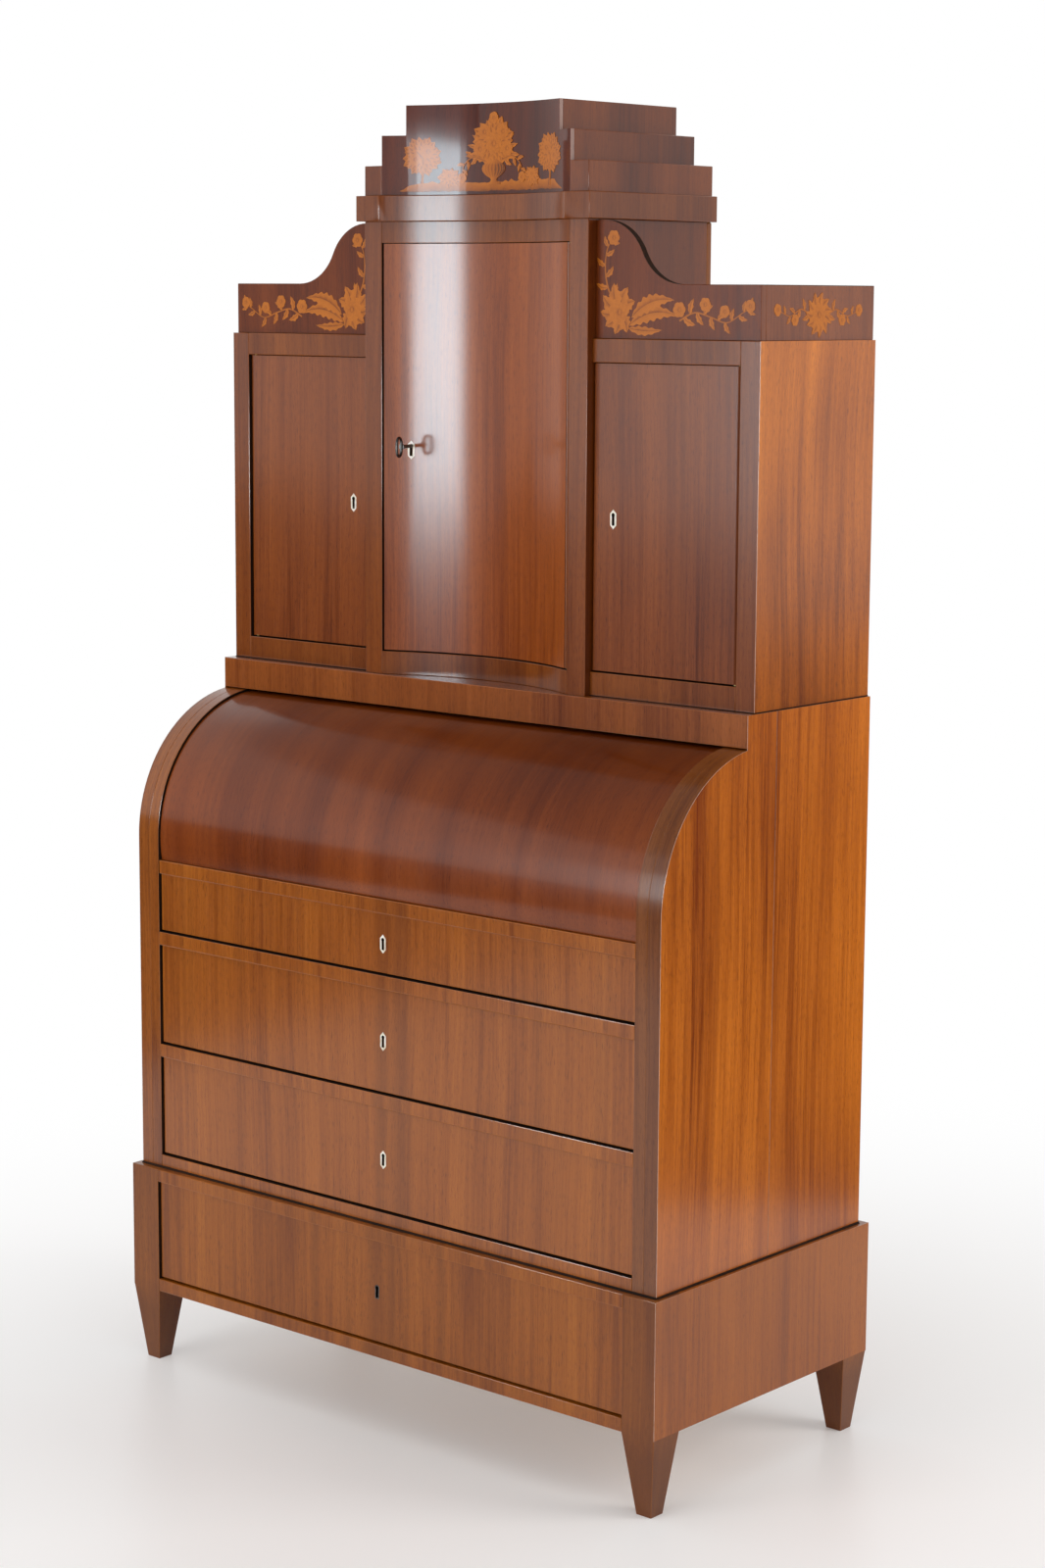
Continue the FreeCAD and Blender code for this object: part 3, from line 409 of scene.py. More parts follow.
def side_leaves(name, outlines, x, finish):
    """Leaves of veneer glued side by side on a flank of the carcass, each outlined in depth and height.
    Their thin edges show at the corners, a little round towards the front and pale, rubbed by wear and with a
    painted highlight along the corner."""
    sheets = []
    for outline in outlines:
        front, back = min(y for y, z in outline), max(y for y, z in outline)
        sheet = slip([(x, y, z) for y, z in outline], (math.copysign(LEAF, x), 0, 0))
        for corner in sheet.verts:
            if abs(corner.co.x) > abs(x) + LEAF / 2:
                corner.co.y += RUBBED * (back - corner.co.y) / (back - front)
        sheets.append(sheet)
    leaves = [f"{name} {i}" for i in range(len(sheets))]

    def leaf_finish(size, face):
        return finish if abs(face.normal.x) > SQUARE_ON else worn_and_highlit_edge

    return show(name, join_boards(name, sheets, leaves, leaf_finish), "carcass")


def upright_box(front, back, low, high):
    """The outline of a plain leaf, in depth and height."""
    return [(front, low), (front, high), (back, high), (back, low)]


def matched_grain(spot, normal):
    """Grain of two leaves opened like a book, so that they mirror each other at the middle."""
    return Vector((abs(spot.x), spot.y, spot.z))


def rail_finish(veneer_of_rail):
    """Polished on the face; above and below, where it closes against a drawer or a door, bare and painted near
    black as the shade in the gap.
    """
    return lambda size, face: dust_and_shade_edge if abs(face.normal.z) > SQUARE_ON else veneer_of_rail


# Pale edge tone: wear, and a painted highlight where the corners of the side leaves catch the light.
worn_and_highlit_edge = veneer("worn_and_highlit_edge_mahogany", (0.62, 0.450, 0.360), depth=0.6)
base_veneer = veneer("base_mahogany", (0.320, 0.082, 0.004), depth=1.1, knots=0.5, gloss=0.7, clouds=0.34)
base_front_veneer = veneer("base_front_mahogany", (0.262, 0.070, 0.005), heart=0.55, gloss=0.6)
dress("base_panels", base_veneer)
dress("base_rails", base_front_veneer, leaf="drawer fronts", grain=matched_grain, halved=True)
for side, name in ((-1, "left"), (1, "right")):
    side_leaves(f"base_leaf_{name}", [upright_box(post_low.y, post_high.y, base_low.z, base_high.z)],
                side * post_high.x, base_veneer)

# Side boards of the desk: wide boards with a round front shoulder, faced in front like the drawers.
# Two long leaves of the lightest veneer meet at mid depth and run on over the end of the desk top.
SEAM_SHARE = 0.53
SEAM_GAP = 0.0010
ARC_STEPS = 24

roll = next(j for j in frame["joints"] if j["name"] == "cylinder_roll")
AXIS_Y, AXIS_Z = roll["pos_m"][1:]
desk_low, desk_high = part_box("desk_side_right")
top_low, top_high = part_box("desk_top")
SHOULDER = AXIS_Y - desk_low.y


def bent_grain(spot, normal):
    """Grain that climbs the front and then follows the round of the cylinder."""
    if spot.z <= AXIS_Z:
        return spot.copy()
    reach = math.hypot(spot.y - AXIS_Y, spot.z - AXIS_Z)
    turn = math.atan2(spot.z - AXIS_Z, AXIS_Y - spot.y)
    return Vector((spot.x, AXIS_Y - reach, AXIS_Z + turn * reach))


seam = desk_low.y + SEAM_SHARE * (desk_high.y - desk_low.y)
last_turn = math.acos((AXIS_Y - top_low.y) / SHOULDER)
turns = [last_turn * i / ARC_STEPS for i in range(ARC_STEPS + 1)]
shoulder_arc = [(AXIS_Y - SHOULDER * math.cos(t), AXIS_Z + SHOULDER * math.sin(t)) for t in turns]
front_leaf = [(desk_low.y, desk_low.z), *shoulder_arc, (top_low.y, top_high.z),
              (seam - SEAM_GAP / 2, top_high.z), (seam - SEAM_GAP / 2, desk_low.z)]
rear_leaf = upright_box(seam + SEAM_GAP / 2, desk_high.y, desk_low.z, top_high.z)
# Painted shade: the desk sides darken towards the bottom.
side_veneer = veneer("side_mahogany", (0.440, 0.108, 0.006), depth=2.0, knots=0.8,
                     darkened=(0.62, 0.38, 0.25))
# Painted light and shade: one stile veneer in a lighter copy for the lit left side and a darker one for the shaded
# right.
lit_and_shaded_stiles = {"left": veneer("lit_left_stile_mahogany", (0.260, 0.070, 0.007)),
                 "right": veneer("shaded_right_stile_mahogany", (0.162, 0.043, 0.005))}
for side, name in ((-1, "left"), (1, "right")):
    dress(f"desk_side_{name}", lit_and_shaded_stiles[name], grain=bent_grain)
    side_leaves(f"desk_leaf_{name}", [front_leaf, rear_leaf], side * desk_high.x, side_veneer)

# Front facings: strips glued to the inner edge of the side boards, bent over the shoulder with them.
# Their grain follows the bend, so one long leaf seems to run from the base to the desk top.
def facing_finish(size, face):
    """The inner cheeks, beside the drawers and the cylinder, are bare and painted near black as shade; the faces
    take the lit left or the shaded right copy of the stile veneer.
    """
    middle = face.calc_center_median()
    inner = face.normal.x * middle.x < 0 and abs(face.normal.x) > SQUARE_ON
    return dust_and_shade_edge if inner else lit_and_shaded_stiles["left" if middle.x < 0 else "right"]


dress("front_facings", facing_finish, grain=bent_grain)

# Rails between the drawers, with the runners behind them on which the drawers slide.
# The rails are cross-veneered, so their grain stands up like that of the drawers; the runners are bare pine.
matched_veneer = veneer("matched_mahogany", (0.285, 0.074, 0.005), heart=0.55)
dress("drawer_rails", rail_finish(matched_veneer), leaf="drawer fronts", grain=matched_grain, halved=True)


def planed(name, dark, light):
    """Plain planed softwood, never polished: soft growth bands and fine fibres."""
    finish, tree, shader = new_finish(name, specular_ior_level=0.3)
    laid = grain_on(tree)
    bands = cloud(tree, stretched(tree, laid, 45.0, 0.8), 3.0, 0.55)
    fibres = cloud(tree, stretched(tree, laid, 700.0, 9.0), 2.0)
    figure = layered(tree, (bands, 0.7), (fibres, 0.3))
    lay_on(tree, shader, ramp(tree, figure, [(0.38, dark), (0.62, light)]),
           ramp(tree, fibres, [(0.3, 0.55), (0.7, 0.75)]), fibres)
    return finish


def deep_grain(spot, normal):
    """Grain of a board that lies from front to back."""
    return Vector((spot.x, spot.z, spot.y))


def wide_grain(spot, normal):
    """Grain of a board that lies from side to side."""
    return Vector((spot.z, spot.y, spot.x))


pine = planed("planed_pine", (0.40, 0.210, 0.085), (0.62, 0.375, 0.175))
dress("drawer_runners", pine, grain=deep_grain)
dress("slide_bearers", pine, grain=deep_grain)

# Back of the desk: upright pine planks, planed and nailed into a rebate, with a chamfer along each joint.
# They have shrunk and darkened, and only their outer edges are stained like the carcass.
PLANK_CHAMFER = 0.002
DESK_PLANKS = 6


def block(low, high):
    """A plain board between two opposite corners."""
    board = bmesh.new()
    low, high = Vector(low), Vector(high)
    place = Matrix.Translation((low + high) / 2) @ Matrix.Diagonal((*(high - low), 1))
    bmesh.ops.create_cube(board, size=1.0, matrix=place)
    return board


def plank_finish(size, face):
    """Stained like the carcass on the long edges and bare elsewhere."""
    return foot_veneer if abs(face.normal.x) > SQUARE_ON else old_pine


def planked(node, edges, height):
    """A back of planks side by side between the given edges, in place of the node."""
    low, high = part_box(node)
    planks = [soften(block((a, low.y, low.z), (b, high.y, height((a + b) / 2))), PLANK_CHAMFER)
              for a, b in zip(edges, edges[1:])]
    leaves = [f"{node} {i}" for i in range(len(planks))]
    mesh = join_boards(f"planks_{node}", planks, leaves, plank_finish)
    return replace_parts(show(f"planks_{node}", mesh, home_body[node]), node)


old_pine = planed("old_pine", (0.245, 0.112, 0.042), (0.420, 0.222, 0.096))
back_low, back_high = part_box("desk_back")
back_width = back_high.x - back_low.x
planked("desk_back", [back_low.x + back_width * i / DESK_PLANKS for i in range(DESK_PLANKS + 1)],
        lambda x: back_high.z)

# Base drawer and the three drawers of the desk: one run of veneer carries over all four fronts.
# Each front closes a pine box whose sides are dovetailed into it, which shows when the drawer is out.
DRAWERS = ("base_drawer", "low_drawer", "middle_drawer", "top_drawer")
FRONT_EDGE = 0.05
BOX_ARRIS = 0.0012
TAIL_LENGTH = 0.014
TAIL_PITCH = 0.042
TAIL_WIDE = 0.013
TAIL_NARROW = 0.009
TAIL_RAISED = 0.0003
HOLE_SIDE = 0.0015
HOLE_END = 0.004
SIDEWAYS = 0.5


def dovetails(drawer):
    """Tails of the box sides let into both ends of the front, widest towards the face."""
    low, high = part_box(f"{drawer}_front")
    box_low, box_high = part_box(f"{drawer}_box")
    count = int((box_high.z - box_low.z) / TAIL_PITCH)
    pitch = (box_high.z - box_low.z) / count
    tails = []
    for x in (low.x, high.x):
        for i in range(count):
            level = box_low.z + pitch * (i + 0.5)
            outline = [(high.y, level - TAIL_NARROW), (high.y, level + TAIL_NARROW),
                       (high.y - TAIL_LENGTH, level + TAIL_WIDE), (high.y - TAIL_LENGTH, level - TAIL_WIDE)]
            tails.append(slip([(x, y, z) for y, z in outline], (math.copysign(TAIL_RAISED, x), 0, 0)))
    leaves = [f"{drawer} tail {i}" for i in range(len(tails))]
    mesh = join_boards(f"{drawer}_dovetails", tails, leaves, pine, deep_grain)
    show(f"{drawer}_dovetails", mesh, drawer)


def pierced(node, finish):
    """Polished outside, and painted near black inside the keyhole as the shade in the hole."""
    low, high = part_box(node)

    def choose(size, face):
        middle = face.calc_center_median()
        across = low.x + HOLE_SIDE < middle.x < high.x - HOLE_SIDE
        within = across and low.z + HOLE_END < middle.z < high.z - HOLE_END
        return dust_and_shade_edge if within and abs(face.normal.y) < SIDEWAYS else finish

    return choose


for drawer in DRAWERS:
    finish = pierced(f"{drawer}_front", base_front_veneer if drawer == "base_drawer" else matched_veneer)
    dress(f"{drawer}_front", finish, shortest=FRONT_EDGE, leaf="drawer fronts", grain=matched_grain,
          halved=True)
    dress(f"{drawer}_box", pine, width=BOX_ARRIS, grain=deep_grain)
    dovetails(drawer)

# Locks: brass cases screwed to the back of the drawer fronts and of the doors.
# Those of the wing doors and drawers have four slotted screws. Iron lines the base drawer's keyhole.
LOCK_ARRIS = 0.0008
SCREW_INSET = 0.008
SCREW_RADIUS = 0.0032
SCREW_RIM = 0.0004
SCREW_DOME = 0.0007
SCREW_SLOT = 0.0007
SCREW_STEPS = 10
HOLE_RADIUS = 0.0032
HOLE_SLOT = 0.005
HOLE_DROP = 0.016
HOLE_STEPS = 20
RIM_WIDTH = 0.0018
RIM_PROUD = 0.0002
RIM_SUNK = 0.004
SCALE_DEPTH = 0.0003


def old_brass(name):
    """Brass gone brown in the hollows, scratched bright on the flats."""
    finish, tree, shader = new_finish(name, metallic=1.0)
    spot = place_on(tree)
    patina = cloud(tree, stretched(tree, spot, 55.0, 55.0), 4.0, 0.6)
    scratches = cloud(tree, stretched(tree, spot, 900.0, 40.0), 2.0)
    colour = ramp(tree, patina, [(0.35, (0.22, 0.13, 0.045)), (0.62, (0.62, 0.45, 0.18))])
    lay_on(tree, shader, colour, ramp(tree, scratches, [(0.3, 0.30), (0.7, 0.48)]))
    return finish


def screw_head(x, y, z):
    """A round rim with two raised halves, the slot between them."""
    lean = math.asin(SCREW_SLOT / 2 / SCREW_RADIUS)
    rim = [math.tau * i / (2 * SCREW_STEPS) for i in range(2 * SCREW_STEPS)]
    halves = [[side + lean + (math.pi - 2 * lean) * i / SCREW_STEPS for i in range(SCREW_STEPS + 1)]
              for side in (0, math.pi)]
    levels = [(rim, y, SCREW_RIM)] + [(half, y + SCREW_RIM, SCREW_DOME) for half in halves]
    heads = []
    for turns, start, height in levels:
        outline = [(x + SCREW_RADIUS * math.cos(t), start, z + SCREW_RADIUS * math.sin(t)) for t in turns]
        heads.append(slip(outline, (0, height, 0)))
    return heads


def keyhole_outline(top, grow):
    """A round hole over a slot, grown outwards, as places across and up."""
    radius, half = HOLE_RADIUS + grow, HOLE_SLOT / 2 + grow
    start = math.asin(half / radius) - math.pi / 2
    arc = [start + (math.pi - 2 * start) * i / HOLE_STEPS for i in range(HOLE_STEPS + 1)]
    level = top - HOLE_RADIUS
    foot = level - HOLE_DROP - grow
    return [(-half, foot), (half, foot)] + [(radius * math.cos(t), level + radius * math.sin(t)) for t in arc]


def lining(front, top):
    """A rim round a keyhole, closed on all sides."""
    rim = bmesh.new()
    rings = [[rim.verts.new((x, y, z)) for x, z in keyhole_outline(top, grow)]
             for grow, y in ((0.0, front - RIM_PROUD), (RIM_WIDTH, front - RIM_PROUD),
                             (RIM_WIDTH, front + RIM_SUNK), (0.0, front + RIM_SUNK))]
    for ring, outer in zip(rings, rings[1:] + rings[:1]):
        for a, b, c, d in zip(ring, ring[1:] + ring[:1], outer[1:] + outer[:1], outer):
            rim.faces.new((a, b, c, d))
    bmesh.ops.recalc_face_normals(rim, faces=rim.faces)
    return rim


def forged_iron(name):
    """Forged and filed iron, blackened with age."""
    finish, tree, shader = new_finish(name, metallic=1.0)
    spot = place_on(tree)
    scale = cloud(tree, stretched(tree, spot, 180.0, 180.0), 4.0, 0.65)
    colour = ramp(tree, scale, [(0.35, (0.045, 0.038, 0.034)), (0.65, (0.16, 0.145, 0.135))])
    lay_on(tree, shader, colour, ramp(tree, scale, [(0.3, 0.30), (0.7, 0.55)]), scale, depth=SCALE_DEPTH)
    return finish


brass = old_brass("old_brass")
iron = forged_iron("forged_iron")
for owner in (*DRAWERS, "left_door", "right_door", "tower_door"):
    dress(f"{owner}_lock", brass, width=LOCK_ARRIS)
    if owner != "tower_door":
        low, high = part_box(f"{owner}_lock")
        places = [(x, z) for x in (low.x + SCREW_INSET, high.x - SCREW_INSET)
                  for z in (low.z + SCREW_INSET, high.z - SCREW_INSET)]
        heads = [head for x, z in places for head in screw_head(x, high.y, z)]
        mesh = join_boards(f"{owner}_lock_screws", heads, range(len(heads)), brass)
        show(f"{owner}_lock_screws", mesh, owner)
front_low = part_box("base_drawer_front")[0]
front_corners = [v.co for v in frame["nodes"]["base_drawer_front"].data.vertices]
hole_top = max(corner.z for corner in front_corners if abs(corner.x) < HOLE_RADIUS / 2)
mesh = join_boards("base_keyhole_lining", [lining(front_low.y, hole_top)], ["lining"], iron)
show("base_keyhole_lining", mesh, "base_drawer")

# Escutcheons: long bone plates with pointed ends, let into the wood round each keyhole.
# The bone has yellowed and has fine dark pores.
PLATE_ARRIS = 0.0002
PLATE_EDGE = 0.004


def old_bone(name):
    """Polished bone, a little see-through and mottled."""
    finish, tree, shader = new_finish(name, subsurface_weight=0.15, subsurface_scale=0.002)
    spot = place_on(tree)
    mottle = cloud(tree, stretched(tree, spot, 260.0, 120.0), 3.0)
    colour = ramp(tree, mottle, [(0.35, (0.66, 0.57, 0.43)), (0.6, (0.86, 0.81, 0.71))])
    lay_on(tree, shader, colour, ramp(tree, mottle, [(0.3, 0.32), (0.7, 0.45)]))
    return finish


bone = old_bone("old_bone")
for plate in (*DRAWERS[1:], "left_door", "right_door", "tower_door"):
    dress(f"{plate}_escutcheon", pierced(f"{plate}_escutcheon", bone), width=PLATE_ARRIS, shortest=PLATE_EDGE)

# Writing slide: a panel with a mahogany lip in front and green leather let into its top.
# The leather has a double gilt line round its edge, and an iron yoke on each side drives the cylinder.
GILT_LINES = ((0.014, 0.0016), (0.019, 0.0006))
GILT_RAISED = 0.00006

dress("slide_panel", lit_and_shaded_stiles["right"], grain=wide_grain)
dress("slide_edge", matched_veneer, leaf="drawer fronts", grain=matched_grain, halved=True)


def writing_leather(name):
    """Fine goat leather: a close pebble, darkened where hands rest."""
    finish, tree, shader = new_finish(name, specular_ior_level=0.4)
    spot = place_on(tree)
    pebble = add(tree, "TexVoronoi", {"Vector": spot, "Scale": 700.0}).outputs["Distance"]
    stain = cloud(tree, stretched(tree, spot, 9.0, 9.0), 4.0, 0.6)
    colour = ramp(tree, stain, [(0.35, (0.022, 0.050, 0.024)), (0.65, (0.060, 0.115, 0.055))])
    lay_on(tree, shader, colour, ramp(tree, stain, [(0.3, 0.42), (0.7, 0.58)]), pebble, strength=0.35)
    return finish


def gilt_tooling(name):
    """Gold leaf pressed into the leather, rubbed through in places."""
    finish, tree, shader = new_finish(name, metallic=1.0)
    spot = place_on(tree)
    rubbed = cloud(tree, stretched(tree, spot, 130.0, 130.0), 4.0, 0.6)
    colour = ramp(tree, rubbed, [(0.36, (0.16, 0.12, 0.05)), (0.5, (0.75, 0.55, 0.22))])
    lay_on(tree, shader, colour, ramp(tree, rubbed, [(0.3, 0.5), (0.7, 0.28)]))
    return finish


dress("slide_leather", writing_leather("green_leather"))
hide_low, hide_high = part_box("slide_leather")
gilt = []
for inset, width in GILT_LINES:
    left, right = hide_low.x + inset, hide_high.x - inset
    front, back = hide_low.y + inset, hide_high.y - inset
    base, face = hide_high.z - GILT_RAISED, hide_high.z + GILT_RAISED
    gilt += [block((left, y - width / 2, base), (right, y + width / 2, face)) for y in (front, back)]
    gilt += [block((x - width / 2, front + width / 2, base), (x + width / 2, back - width / 2, face))
             for x in (left, right)]
gilt_mesh = join_boards("gilt_lines", gilt, range(len(gilt)), gilt_tooling("gilt_tooling"))
show("gilt_lines", gilt_mesh, "slide")
dress("slide_yokes", iron)

# Cylinder: a bent shell of veneered staves on two quadrants, hung on trunnions with iron cranks.
# Its figure is a darker, redder leaf than the drawers', with the grain following the curve.
# Painted shade: the cylinder darkens towards its top, under the desk top.
cylinder_veneer = veneer("cylinder_mahogany", (0.166, 0.031, 0.0025), depth=1.8, veins=0.4,
                         darkened=(0.97, 1.12, 0.50), gloss=0.62, clouds=0.50, fine=0.20)
dress("cylinder_shell", cylinder_veneer, grain=bent_grain)
dress("cylinder_quadrants", lit_and_shaded_stiles["right"])
dress("cylinder_cranks", iron)

# Pigeonhole case: thin mahogany boards round three bays, with a small drawer in each outer one.
# The boards are grooved into each other, and the drawers have turned knobs.
CASE_ARRIS = 0.0006
INNER_ARRIS = 0.0005

dress("pigeonhole_case", lit_and_shaded_stiles["right"], width=CASE_ARRIS, grain=wide_grain)
dress("inner_drawer_left", matched_veneer, width=INNER_ARRIS)
dress("inner_drawer_right", matched_veneer, width=INNER_ARRIS)

# Desk top: a thick board over the cylinder, which carries the upper cabinet.
# Its front is cross-veneered, and the side leaves of the desk cover its ends.
top_veneer = veneer("top_mahogany", (0.230, 0.055, 0.006), strips=0.11)
dress("desk_top", top_veneer)

# Upper cabinet: pine boards and shelves between veneered sides, with a back of pine planks.
# One leaf on each flank covers the side and the edge of the front frame.
cabinet_veneer = veneer("cabinet_mahogany", (0.368, 0.090, 0.004), depth=2.6, veins=0.15, knots=0.6,
                        clouds=0.46, fine=0.28, sway=0.12)
dress("cabinet_boards", pine, grain=wide_grain)
dress("cabinet_shelves", pine, grain=wide_grain)
dress("cabinet_sides", cabinet_veneer)
flank_low, flank_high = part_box("cabinet_sides")
frame_low, frame_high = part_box("wing_frames")
tower_low, tower_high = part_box("tower_frame")
for side, name in ((-1, "left"), (1, "right")):
    side_leaves(f"flank_leaf_{name}", [upright_box(frame_low.y, flank_high.y, flank_low.z, flank_high.z)],
                side * flank_high.x, cabinet_veneer)
wing_low, wing_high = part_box("cabinet_back")
wing_plank = (wing_high.x + tower_low.x) / 2
tower_plank = tower_high.x / 3
planked("cabinet_back",
        [wing_low.x, wing_low.x + wing_plank, tower_low.x, -tower_plank, tower_plank, tower_high.x,
         wing_high.x - wing_plank, wing_high.x],
        lambda x: wing_high.z if abs(x) < tower_high.x else frame_high.z)

# Shadow lines: thin near-black fillets in the corners where the desk stands on its base
# and the cabinet on the desk top, painted shadow for the shade in these corners. They are only a few millimetres
# wide.
DESK_SHADOW_LINE = 0.003
CABINET_SHADOW_LINE = 0.0016


def shadow_fillet(start, end, out, size):
    """A three-sided fillet in a corner that runs from start to end, with the open side towards out."""
    start, end, out = Vector(start), Vector(end), Vector(out) * size
    rise = Vector((0, 0, size))
    line = bmesh.new()
    ends = [[line.verts.new(spot + off) for off in (Vector(), out, rise)] for spot in (start, end)]
    for corners in ends:
        line.faces.new(corners)
    for a, b in ((0, 1), (1, 2), (2, 0)):
        line.faces.new((ends[0][a], ends[0][b], ends[1][b], ends[1][a]))
    bmesh.ops.recalc_face_normals(line, faces=line.faces)
    return line


shadow_fillets = []
for low, high, half, inner, size in ((desk_low, desk_high, desk_high.x, 0.0, DESK_SHADOW_LINE),
                                     (frame_low, flank_high, flank_high.x, tower_high.x, CABINET_SHADOW_LINE)):
    for side in (-1, 1):
        edge = side * (half + LEAF)
        shadow_fillets.append(shadow_fillet((side * inner, low.y, low.z), (edge, low.y, low.z), (0, -1, 0), size))
        shadow_fillets.append(shadow_fillet((edge, low.y, low.z), (edge, high.y, low.z), (side, 0, 0), size))
show("painted_shadow_lines", join_boards("painted_shadow_lines", shadow_fillets, range(len(shadow_fillets)), dust_and_shade_edge), "carcass")

# Wing frames and doors: stiles and rails round a plain door on each side of the tower.
# The doors turn on brass pins in the rails, so no hinge shows, and their turning edges are rubbed dull.
DOOR_ARRIS = 0.0004
PIN_ARRIS = 0.0002
PIN_EDGE = 0.0001
EDGEWISE = 0.3
TURNING = 0.001

frame_veneer = veneer("frame_mahogany", (0.178, 0.040, 0.003))
band_veneer = veneer("band_mahogany", (0.185, 0.043, 0.003), strips=0.09, gloss=0.68)
dull_veneer = veneer("dull_mahogany", (0.185, 0.042, 0.004), gloss=0.1)
door_veneer = veneer("door_mahogany", (0.182, 0.039, 0.003), depth=1.8, clouds=0.30)


def frame_finish(size, face):
    """Stiles in one leaf, rails cross-banded, and the edges towards the door bare and painted near black as the
    shade in the gap.
    """
    if abs(face.normal.y) < EDGEWISE:
        return dust_and_shade_edge
    return band_veneer if size.x > size.z else frame_veneer


def hinged(door, polished):
    """As pierced, with the round edge that turns in the frame rubbed dull."""
    plain = pierced(door, polished)

    def choose(size, face):
        turning = face.normal.x * face.calc_center_median().x > TURNING and face.normal.y < 0
        return dull_veneer if turning else plain(size, face)

    return choose


dress("wing_frames", frame_finish)
for door in ("left_door", "right_door"):
    dress(door, hinged(door, door_veneer), width=DOOR_ARRIS, shortest=FRONT_EDGE)
dress("door_pivots", brass, width=PIN_ARRIS, shortest=PIN_EDGE)

# Tower: stiles and hollow rails round the hollow door, whose lock still holds its key.
# The door is coopered from narrow staves and veneered, and its sides are a darker leaf.
DEEP_BOARD = 0.1
TOWER_EDGE = 0.02
KEY_ARRIS = 0.0002
KEY_EDGE = 0.003

# Painted shade: the darkest step leaf also covers the outer cheeks of the tower's stiles, where the step to the
# wings lies in shade.
step_and_shade_veneer = veneer("step_mahogany", (0.138, 0.028, 0.003), strips=0.09, gloss=0.8)
tower_veneer = veneer("tower_mahogany", (0.248, 0.052, 0.004), gloss=0.8)


def tower_finish(size, face):
    """Sides in the darker leaf, and the outer cheeks in it as painted shade; rails cross-banded; the cheeks beside
    the door bare and painted near black as shade.
    """
    middle = face.calc_center_median()
    if size.y > DEEP_BOARD or face.normal.x * middle.x > SQUARE_ON * abs(middle.x):
        return step_and_shade_veneer
    if abs(face.normal.x) > SQUARE_ON or abs(face.normal.z) > SQUARE_ON:
        return dust_and_shade_edge
    return band_veneer if size.x > size.z else frame_veneer


dress("tower_frame", tower_finish)
dress("tower_door", hinged("tower_door", tower_veneer), width=DOOR_ARRIS, shortest=TOWER_EDGE)
dress("tower_door_bolt", iron)
dress("key", iron, width=KEY_ARRIS, shortest=KEY_EDGE)

# Cornice and pediment steps: a hollow-fronted cornice and three boxes, each narrower than the last.
# They are cross-veneered, so short upright strips of grain band the crown.
dress("cornice", veneer("cornice_mahogany", (0.158, 0.037, 0.005), strips=0.09, gloss=0.75))
for step in ("low", "middle", "high"):
    dress(f"pediment_step_{step}", step_and_shade_veneer)

# Pediment panel: a hollow sheet of the darkest veneer with a flower urn and rose bushes let into it.
# The inlay is fruitwood cut with a fine saw and scorched in hot sand to shade it.
PANEL_SHEET = 0.008
INLAY_FACE = 0.00022
INLAY_ROOT = 0.0003
INLAY_HAIR = 0.000003
LEAF_STEPS = 10
LEAF_SHADES = ((-1.0, 0.04), (-0.5, 0.10), (-0.04, 0.20), (0.04, 0.58), (0.5, 0.22), (1.0, 0.12))
PETAL_PLACES = (-1.0, -0.5, 0.0, 0.5, 1.0)
CURVE_STEPS = 7
NARROWEST = 0.05
LEAF_BLUNT = 0.8
LOBE_DEPTH = 0.30
LOBE_STEPS = 5
PETAL_BLUNT = 1.3
PETAL_ROUND = 0.6
PETAL_PALE = 0.04
PETAL_SCORCH = 0.6
PETAL_SHADE = 0.07
PETAL_ROOT = 0.16
PETAL_SHARE = 0.828
WHORLS = ((0.0, 1.0), (0.5, 0.66))
EYE_SHARE = 0.2
STEM_TAPER = 0.66
STEM_SHADES = ((-1, 0.15), (0, 0.35), (1, 0.6))
FIRST_LEAF = 2
LEAF_LEAN = math.radians(52)
LEAF_SHRINK = 0.4
LEAF_WIDE = 0.46
LEAF_BOW = 0.1

darkest_veneer = veneer("darkest_mahogany", (0.082, 0.011, 0.001), gloss=0.64, haze=0.06)
# The ends of the panel are pale: a little wear, and a painted reflection of the bright room on the end of the
# sheet.
worn_and_sheen_end = veneer("worn_and_sheen_end_mahogany", (0.30, 0.170, 0.130), depth=0.8)
dress("pediment_panel",
      lambda size, face: worn_and_sheen_end if abs(face.normal.x) > SQUARE_ON else darkest_veneer)


def inlaid_fruitwood(name):
    """Thin fruitwood, honey coloured, scorched brown where the shade attribute rises."""
    finish, tree, shader = new_finish(name, coat_weight=0.4, coat_roughness=0.06, **POLISH)
    shade = add(tree, "Attribute", attribute_name="shade").outputs["Fac"]
    spot = place_on(tree)
    fibres = cloud(tree, stretched(tree, spot, 420.0, 420.0), 3.0, 0.6)
    blotch = cloud(tree, stretched(tree, spot, 60.0, 60.0))
    depth = layered(tree, (shade, 1.0), (fibres, 0.3), (blotch, 0.3))
    colour = ramp(tree, depth, [(0.34, (0.47, 0.136, 0.008)), (0.75, (0.31, 0.080, 0.005)),
                                (1.0, (0.09, 0.024, 0.004))])
    lay_on(tree, shader, colour, ramp(tree, fibres, POLISH_ROUGH))
    return finish


def leaf_tile(root, tip, width, bow=0.0, lobes=0):
    """A pointed leaf as rows across it, scorched along one side of the rib."""
    root, tip = Vector(root), Vector(tip)
    across = Vector((root.y - tip.y, tip.x - root.x)).normalized()
    steps = LEAF_STEPS + LOBE_STEPS * lobes
    rows = []
    for step in range(steps + 1):
        t = step / steps
        rib = root.lerp(tip, t) + across * bow * 4 * t * (1 - t)
        half = width / 2 * max(math.sin(math.pi * t ** LEAF_BLUNT), NARROWEST)
        half *= 1 - LOBE_DEPTH * (lobes > 0) * (1 + math.cos(math.tau * lobes * t)) / 2
        rows.append([(rib + across * half * place, shade) for place, shade in LEAF_SHADES])
    return rows


